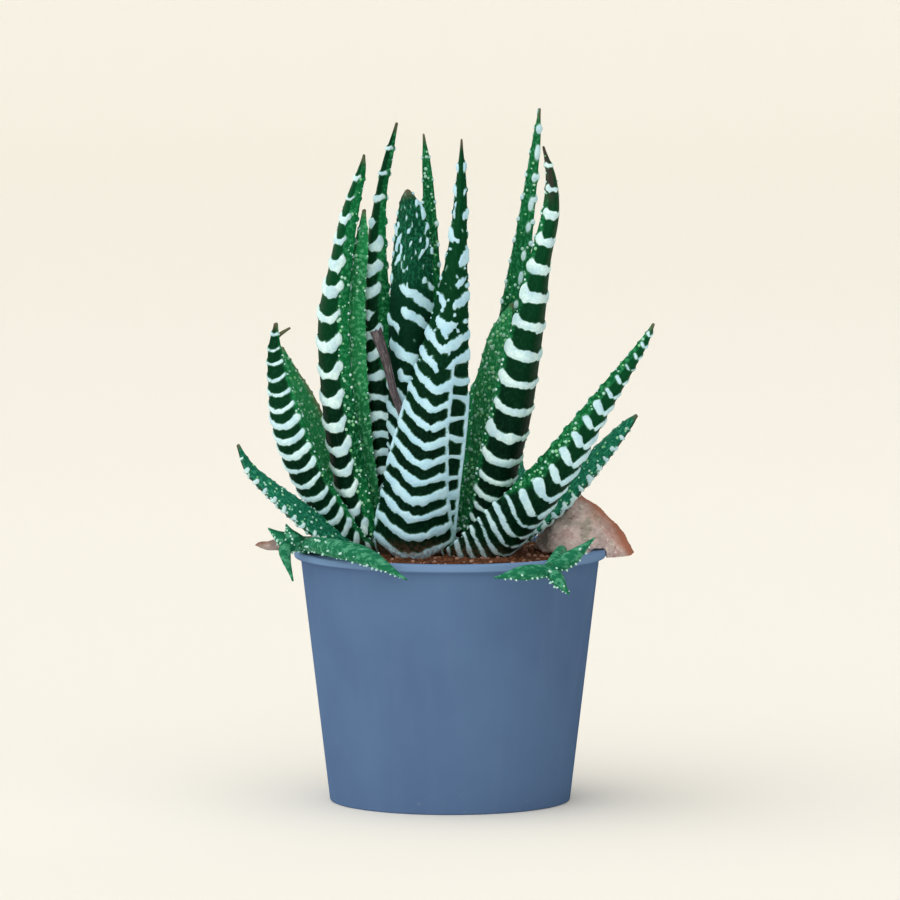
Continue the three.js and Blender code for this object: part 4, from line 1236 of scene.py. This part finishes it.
def turning_tree():
    nodes, inputs = shape_tree("turned_pot", POT_VALUES)
    outline = nodes.add("GeometryNodeMeshToCurve", {0: inputs["Geometry"]})
    rounded = nodes.add("GeometryNodeFilletCurve", {"Curve": outline, "Radius": inputs["Corner radius"],
                                                    "Limit Radius": True, "Count": CORNER_STEPS}, mode="POLY")
    shifted = nodes.add("GeometryNodeSetPosition", {"Geometry": rounded, "Offset": nodes.vector(
        "MULTIPLY", nodes.add("ShaderNodeCombineXYZ", {"X": inputs["Axis radius"]}), (-1, 0, 0))})
    circle = nodes.add("GeometryNodeCurvePrimitiveCircle", {"Resolution": inputs["Sides"],
                                                            "Radius": inputs["Axis radius"]})
    swept = nodes.add("GeometryNodeCurveToMesh", {"Curve": circle, "Profile Curve": shifted})
    closed = nodes.add("GeometryNodeMergeByDistance", {"Geometry": swept, "Distance": SEAM_GAP})
    ring = nodes.add("GeometryNodeMeshCircle", {"Vertices": inputs["Hole count"],
                                                "Radius": inputs["Hole ring"]})
    drill = nodes.add("GeometryNodeMeshCylinder", {"Vertices": DRILL_SIDES, "Radius": inputs["Hole radius"],
                                                   "Depth": DRILL_DEPTH})
    drills = nodes.add("GeometryNodeInstanceOnPoints", {"Points": ring.outputs[0],
                                                        "Instance": drill.outputs["Mesh"]})
    real = nodes.add("GeometryNodeRealizeInstances", {0: drills})
    drilled = nodes.add("GeometryNodeMeshBoolean", {"Mesh 2": real}, operation="DIFFERENCE")
    nodes.feed(drilled.inputs["Mesh 1"], closed)
    close_tree(nodes, drilled, POT_FINISH)
    return nodes.tree


def face_outwards(piece):
    shape = bmesh.new()
    shape.from_mesh(piece.data)
    bmesh.ops.remove_doubles(shape, verts=shape.verts, dist=WELD)
    bmesh.ops.dissolve_degenerate(shape, edges=shape.edges, dist=SLIVER)
    bmesh.ops.recalc_face_normals(shape, faces=shape.faces)
    open_edges = sum(not edge.is_manifold for edge in shape.edges)
    shape.to_mesh(piece.data)
    shape.free()
    return open_edges


pot = outline_object("pot_shell", pot_outline())
pot_count = finish_shape(pot, turning_tree(), POT_VALUES)
pot_open = face_outwards(pot)
pot.data.shade_smooth()
pot.data.set_sharp_from_angle(angle=SHARP_ANGLE)
stand_for(pot, "pot")
print("pot faces:", pot_count, "open edges:", pot_open)
print("pot box in mm:", [round(v / MM, 1) for v in pot.dimensions])


# %% [markdown]
# ## The soil
# The soil fills the pot to just under the lip and rises a little towards the plant. Its body is a
# turned form too, but its top must be crumbly. The top is a fine grid of rings, lifted and lowered by
# several sizes of smooth waves, because crumbs sit on small lumps that sit on larger ones.

# %% The soil's body
SOIL_EDGE = 72.6
SOIL_CENTRE = 74.4
SOIL_FLOOR = 2.3
SOIL_FOOT = 33.6
SOIL_TOP = 41.4
SOIL_RINGS = 90
SOIL_SPOKES = 260
SOIL_SEED = 21


def build_soil():
    rng = np.random.default_rng(SOIL_SEED)
    angle = np.arange(SOIL_SPOKES) / SOIL_SPOKES * math.tau
    share = np.linspace(1, 0.012, SOIL_RINGS)[:, None]
    radius = (SOIL_TOP - 0.2) * share
    x, y = radius * np.cos(angle), radius * np.sin(angle)
    rise = (SOIL_CENTRE - SOIL_EDGE) * np.minimum(1, 1.8 * (1 - share))
    lumps = 0.45 * slow_waves(rng, x, y, 9) + 0.4 * slow_waves(rng, x, y, 4)
    lumps = lumps + 0.3 * slow_waves(rng, x, y, 1.9)
    z = SOIL_EDGE + rise + lumps * smooth_step(1.0, 0.93, share) - 0.2
    top = np.stack([x, y, z], axis=-1)
    walls = []
    for r, height in ((SOIL_FOOT * 0.02, SOIL_FLOOR), (SOIL_FOOT * 0.5, SOIL_FLOOR), (SOIL_FOOT, SOIL_FLOOR),
                      (SOIL_TOP - 3.4, 40.0), (SOIL_TOP - 0.4, SOIL_EDGE - 3), (SOIL_TOP, SOIL_EDGE - 1)):
        walls.append(np.stack([r * np.cos(angle), r * np.sin(angle), np.full(SOIL_SPOKES, height)], axis=-1))
    skin = np.concatenate([np.array(walls), top])
    piece = new_body("soil_bed", skin, [0, 0, SOIL_FLOOR], [0, 0, z[-1].mean()])
    store(piece, top=padded(np.ones(SOIL_RINGS * SOIL_SPOKES), len(walls) * SOIL_SPOKES, 2))
    return piece


# %% [markdown]
# The finish mixes a dark and a middle brown by a fine noise, with redder patches and pale specks. The
# crumbs use the same finish, and a stored number turns some of them into pinkish grit.

# %% The soil's finish
def crumbly_soil():
    material, nodes, shader = new_material("crumbly_soil")
    place = object_place(nodes)
    crumbs = noise(nodes, place, 420.0, 6.0, 0.65)
    patches = noise(nodes, place, 70.0, 3.0)
    specks = noise(nodes, place, 1500.0, 2.0)
    colour = mix(nodes, nodes.step(crumbs, 0.35, 0.65), "#3d2619", "#6f442c")
    colour = layered(nodes, colour, [(patches, 0.45, 0.65, 0.6, "#7d4e36"),
                                     (specks, 0.62, 0.72, 0.5, "#b39480")])
    pale = mix(nodes, nodes.step(specks, 0.3, 0.7), "#8a6252", "#b8917e")
    colour = mix(nodes, attribute(nodes, "grit"), colour, pale)
    surface(nodes, shader, colour, 0.95, 0.2, crumbs, 0.7, 1.0)
    return material


SOIL_FINISH = crumbly_soil()


# %% [markdown]
# ## Crumbs and grit
# More than a thousand crumbs lie loose on the soil. Geometry Nodes scatter them: points are spread over
# the top with a fixed seed and a least distance, and one small rough ball is placed at each with a
# random turn and size. The ball has only 40 faces, because it is repeated so often.

# %% The scattering tree
CRUMB_VALUES = {"Spacing": 1.0 * MM, "Density": 300000.0, "Smallest": 0.3 * MM, "Largest": 0.85 * MM,
                "Grit share": 0.3, "Seed": 5}
CRUMB_SIDES, CRUMB_RINGS = 8, 5


def random_value(nodes, kind, low, high, seed):
    node = nodes.add("FunctionNodeRandomValue", {"Seed": seed}, data_type=kind)
    ends = [s for s in node.inputs if s.enabled and s.name in ("Min", "Max")]
    nodes.feed(ends[0], low)
    nodes.feed(ends[1], high)
    return first_output(node)


def scatter_tree():
    nodes, inputs = shape_tree("scattered_crumbs", CRUMB_VALUES)
    spread = nodes.add("GeometryNodeDistributePointsOnFaces", {
        "Mesh": inputs["Geometry"], "Selection": named(nodes, "top"), "Distance Min": inputs["Spacing"],
        "Density Max": inputs["Density"], "Seed": inputs["Seed"]}, distribute_method="POISSON")
    is_grit = nodes.math("LESS_THAN", random_value(nodes, "FLOAT", 0.0, 1.0, 3), inputs["Grit share"])
    marked = nodes.add("GeometryNodeStoreNamedAttribute",
                       {"Geometry": spread.outputs["Points"], "Name": "grit", "Value": is_grit},
                       data_type="FLOAT", domain="POINT")
    ball = nodes.add("GeometryNodeMeshUVSphere", {"Radius": 1.0, "Segments": CRUMB_SIDES,
                                                  "Rings": CRUMB_RINGS})
    rough = nodes.vector("SCALE", nodes.vector("SUBTRACT", nodes.add(
        "ShaderNodeTexNoise", {"Scale": 1.7, "Detail": 1.0}).outputs["Color"], (0.5, 0.5, 0.5)), scale=0.9)
    lumpy = nodes.add("GeometryNodeSetPosition", {"Geometry": ball.outputs["Mesh"], "Offset": rough})
    size = random_value(nodes, "FLOAT", inputs["Smallest"], inputs["Largest"], 8)
    turn = random_value(nodes, "FLOAT_VECTOR", (0.0, 0.0, 0.0), (math.tau, math.tau, math.tau), 9)
    crumbs = nodes.add("GeometryNodeInstanceOnPoints", {"Points": marked, "Instance": lumpy, "Rotation": turn,
                                                        "Scale": size})
    together = nodes.add("GeometryNodeJoinGeometry")
    nodes.tree.links.new(first_output(crumbs), together.inputs[0])
    nodes.tree.links.new(inputs["Geometry"], together.inputs[0])
    close_tree(nodes, together, SOIL_FINISH)
    return nodes.tree


soil = build_soil()
soil_count = finish_shape(soil, scatter_tree(), CRUMB_VALUES)
stand_for(soil, "soil")
print("soil faces:", soil_count)


# %% [markdown]
# ## The stones
# Two weathered stones lie on the soil and the lip. The solids already have their outlines and the
# hollows that the leaves and the lip press into them. A copy of each is remeshed into small even
# faces, smoothed, and roughened along its normals by waves of two sizes. That keeps the form and
# adds the pitted surface. Smoothing fills the step at the lip a little, so the points that hang beside
# the pot's wall are moved out past the lip and up to its lower edge.

# %% The stones' shape
VOXEL = 0.45 * MM
LIP_CLEARANCE = 0.35


def build_stone(node, seed, pits):
    rng = np.random.default_rng(seed)
    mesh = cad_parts[node].data.copy()
    mesh.materials.clear()
    piece = link(node + "_weathered", mesh)
    face_outwards(piece)
    remesh = piece.modifiers.new("even", "REMESH")
    remesh.mode = "VOXEL"
    remesh.voxel_size = VOXEL
    smooth = piece.modifiers.new("soften", "SMOOTH")
    smooth.iterations = 12
    smooth.factor = 0.6
    made = plain_mesh(piece)
    points = np.zeros(len(made.vertices) * 3)
    normals = np.zeros_like(points)
    made.vertices.foreach_get("co", points)
    made.vertices.foreach_get("normal", normals)
    points, normals = points.reshape(-1, 3), normals.reshape(-1, 3)
    x, y, z = (points / MM).T
    rough = 0.35 * slow_waves(rng, x + z, y - z, 5) + pits * slow_waves(rng, x - 0.7 * z, y + z, 1.6)
    points = points + normals * (rough - 0.1)[:, None] * MM
    lowest = LIP_FOOT * MM
    radius = np.hypot(points[:, 0], points[:, 1])
    hanging = (radius > (POT["body"] - 1) * MM) & (points[:, 2] < lowest)
    outwards = np.maximum((POT["lip"] + LIP_CLEARANCE) * MM / radius[hanging], 1)
    points[hanging, :2] *= outwards[:, None]
    points[hanging, 2] = lowest + 0.2 * (points[hanging, 2] - lowest)
    made.vertices.foreach_set("co", points.ravel())
    made.update()
    made.shade_smooth()
    return piece


# %% [markdown]
# The stones are greyish pink, mottled, with reddish brown skin where weather and soil have stained
# their outer edge. The stain follows the distance from the foot below the stone's highest point,
# measured in the object's own coordinates, and is broken up by noise. The left stone is darker as a
# whole.

# %% The stones' finish
STONES = [
    dict(node="stone_right", seed=31, pits=0.18, stain=(0.74, 1.0), darker=0.0),
    dict(node="stone_left", seed=33, pits=0.12, stain=(1.12, 1.5), darker=0.5),
]
EDGE_POWER = 1.35


def weathered_stone(node, stain, darker):
    material, nodes, shader = new_material(node + "_finish")
    place = object_place(nodes)
    low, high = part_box(node)
    peak = max(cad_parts[node].data.vertices, key=lambda v: v.co.z).co
    centred = nodes.vector("SUBTRACT", place, (peak.x, 0.0, low[2]))
    scaled = nodes.vector("DIVIDE", centred, (high[0] - peak.x, 1.0, high[2] - low[2]))
    sides = nodes.add("ShaderNodeSeparateXYZ", {0: nodes.vector("ABSOLUTE", scaled)})
    across = nodes.math("POWER", sides.outputs["X"], EDGE_POWER)
    upwards = nodes.math("POWER", sides.outputs["Z"], EDGE_POWER)
    depthwards = nodes.times(sides.outputs["Y"], 14.0)
    reach = nodes.plus(nodes.plus(across, upwards), depthwards)
    clouds = noise(nodes, place, 180.0, 5.0, 0.6)
    spots = noise(nodes, place, 700.0, 4.0, 0.6)
    veins = noise(nodes, place, 90.0, 2.0)
    colour = mix(nodes, nodes.step(clouds, 0.35, 0.65), "#b3a19e", "#dfc9c3")
    blotches = noise(nodes, nodes.vector("ADD", place, (0.3, 0.1, 0.2)), 240.0, 2.0)
    colour = layered(nodes, colour, [
        (blotches, 0.52, 0.66, 0.55, "#97977f"), (blotches, 0.46, 0.34, 0.5, "#b98e8c"),
        (spots, 0.54, 0.68, 0.8, "#ece0d6"), (spots, 0.42, 0.3, 0.7, "#7c625a")])
    wavy = nodes.plus(reach, nodes.times(nodes.math("SUBTRACT", veins, 0.5), 0.6))
    stained = mix(nodes, clouds, "#8f5440", "#c0826a")
    colour = mix(nodes, nodes.step(wavy, *stain), colour, stained)
    colour = mix(nodes, darker, colour, "#6e6258")
    surface(nodes, shader, colour, 0.9, 0.25, nodes.plus(spots, clouds), 0.6, 0.9)
    return material


for look in STONES:
    stone = build_stone(look["node"], look["seed"], look["pits"])
    stone.data.materials.append(weathered_stone(look["node"], look["stain"], look["darker"]))
    stand_for(stone, look["node"])
    print(look["node"], "faces:", len(stone.data.polygons))


# %% [markdown]
# ## The floor
# The plant stands on a plain cream floor that sweeps up behind it, so that no horizon shows. The
# floor's own outline, a line with a quarter circle, is carried sideways.

# %% The floor
FLOOR_FRONT = -4.5
SWEEP_START = 3.0
SWEEP_RADIUS = 1.0
SWEEP_STEPS = 16
WALL_HEIGHT = 4.0
HALF_WIDTH = 4.5


def plain_cream():
    material, nodes, shader = new_material("plain_cream")
    surface(nodes, shader, linear("#f7f4ed"), 1.0, 0.0)
    return material


def build_floor():
    outline = [(FLOOR_FRONT, 0.0), (SWEEP_START, 0.0)]
    for k in range(1, SWEEP_STEPS + 1):
        angle = k / SWEEP_STEPS * math.pi / 2
        outline.append((SWEEP_START + SWEEP_RADIUS * math.sin(angle), SWEEP_RADIUS * (1 - math.cos(angle))))
    outline.append((SWEEP_START + SWEEP_RADIUS, WALL_HEIGHT))
    points = [(x, y, z) for y, z in outline for x in (-HALF_WIDTH, HALF_WIDTH)]
    faces = [(2 * k, 2 * k + 1, 2 * k + 3, 2 * k + 2) for k in range(len(outline) - 1)]
    return new_object("floor_sweep", points, faces)


floor = build_floor()
floor.data.materials.append(plain_cream())


# %% [markdown]
# ## The light
# One large soft lamp at the front left gives the shading of the picture, where the right side of the
# pot falls darker. A weak one fills from the right, and one above lights the tops of the leaves. The sky
# gives a soft base that is bright at the front left and dim at the back right.

# %% The lamps
LAMP_TINT = (0.97, 1.0, 1.05)
PLANT_HEART = (0, 0, 0.1)


def soft_lamp(name, place, size, power):
    lamp = bpy.data.lights.new(name, "AREA")
    lamp.shape = "DISK"
    lamp.size = size
    lamp.energy = power
    lamp.color = LAMP_TINT
    holder = link(name, lamp)
    holder.location = place
    x, y, z = (a - b for a, b in zip(place, PLANT_HEART))
    holder.rotation_euler = (math.atan2(math.hypot(x, y), z), 0, math.atan2(x, -y))


soft_lamp("key_lamp", (-0.75, -1.3, 1.15), size=2.6, power=3.6)
soft_lamp("fill_lamp", (1.5, -1.1, 0.6), size=1.2, power=0.46)
soft_lamp("top_lamp", (0.55, 0.1, 1.9), size=1.7, power=3.9)

bpy.context.scene.view_settings.view_transform = "Standard"
sky = bpy.data.worlds.new("even_sky")
sky.use_nodes = True
background = next(n for n in sky.node_tree.nodes if n.type == "BACKGROUND")
background.inputs["Color"].default_value = linear("#fdfbf5")
sky_nodes = Tree(sky.node_tree)
direction = sky_nodes.add("ShaderNodeTexCoord").outputs["Generated"]
towards = sky_nodes.add("ShaderNodeVectorMath", {0: direction, 1: (-0.8, -0.5, 0.33)},
                        operation="DOT_PRODUCT")
sky_nodes.feed(background.inputs["Strength"], sky_nodes.step(towards.outputs["Value"], -0.7, 0.7, 0.1, 1.29))
bpy.context.scene.world = sky


# %% [markdown]
# ## The camera
# The picture was taken from almost level with the soil, with a long lens, so upright lines stay
# upright and sizes hardly shrink with depth. The camera stands far off and its lens is chosen so that
# the picture is exactly as wide as the real scene it shows.

# %% The camera
PICTURE_WIDTH = 265.5
PICTURE_CENTRE = 103.3
TILT = math.radians(5.5)
DISTANCE = 2.6

camera_data = bpy.data.cameras.new("camera")
camera_data.sensor_width = 36
camera_data.lens = camera_data.sensor_width * DISTANCE / (PICTURE_WIDTH * MM)
camera_data.clip_end = 20
camera = link("camera", camera_data)
aim_height = PICTURE_CENTRE * MM / math.cos(TILT)
camera.location = (0, -DISTANCE * math.cos(TILT), aim_height + DISTANCE * math.sin(TILT))
camera.rotation_euler = (math.pi / 2 - TILT, 0, 0)
bpy.context.scene.camera = camera
print("lens in mm:", round(camera_data.lens, 1))
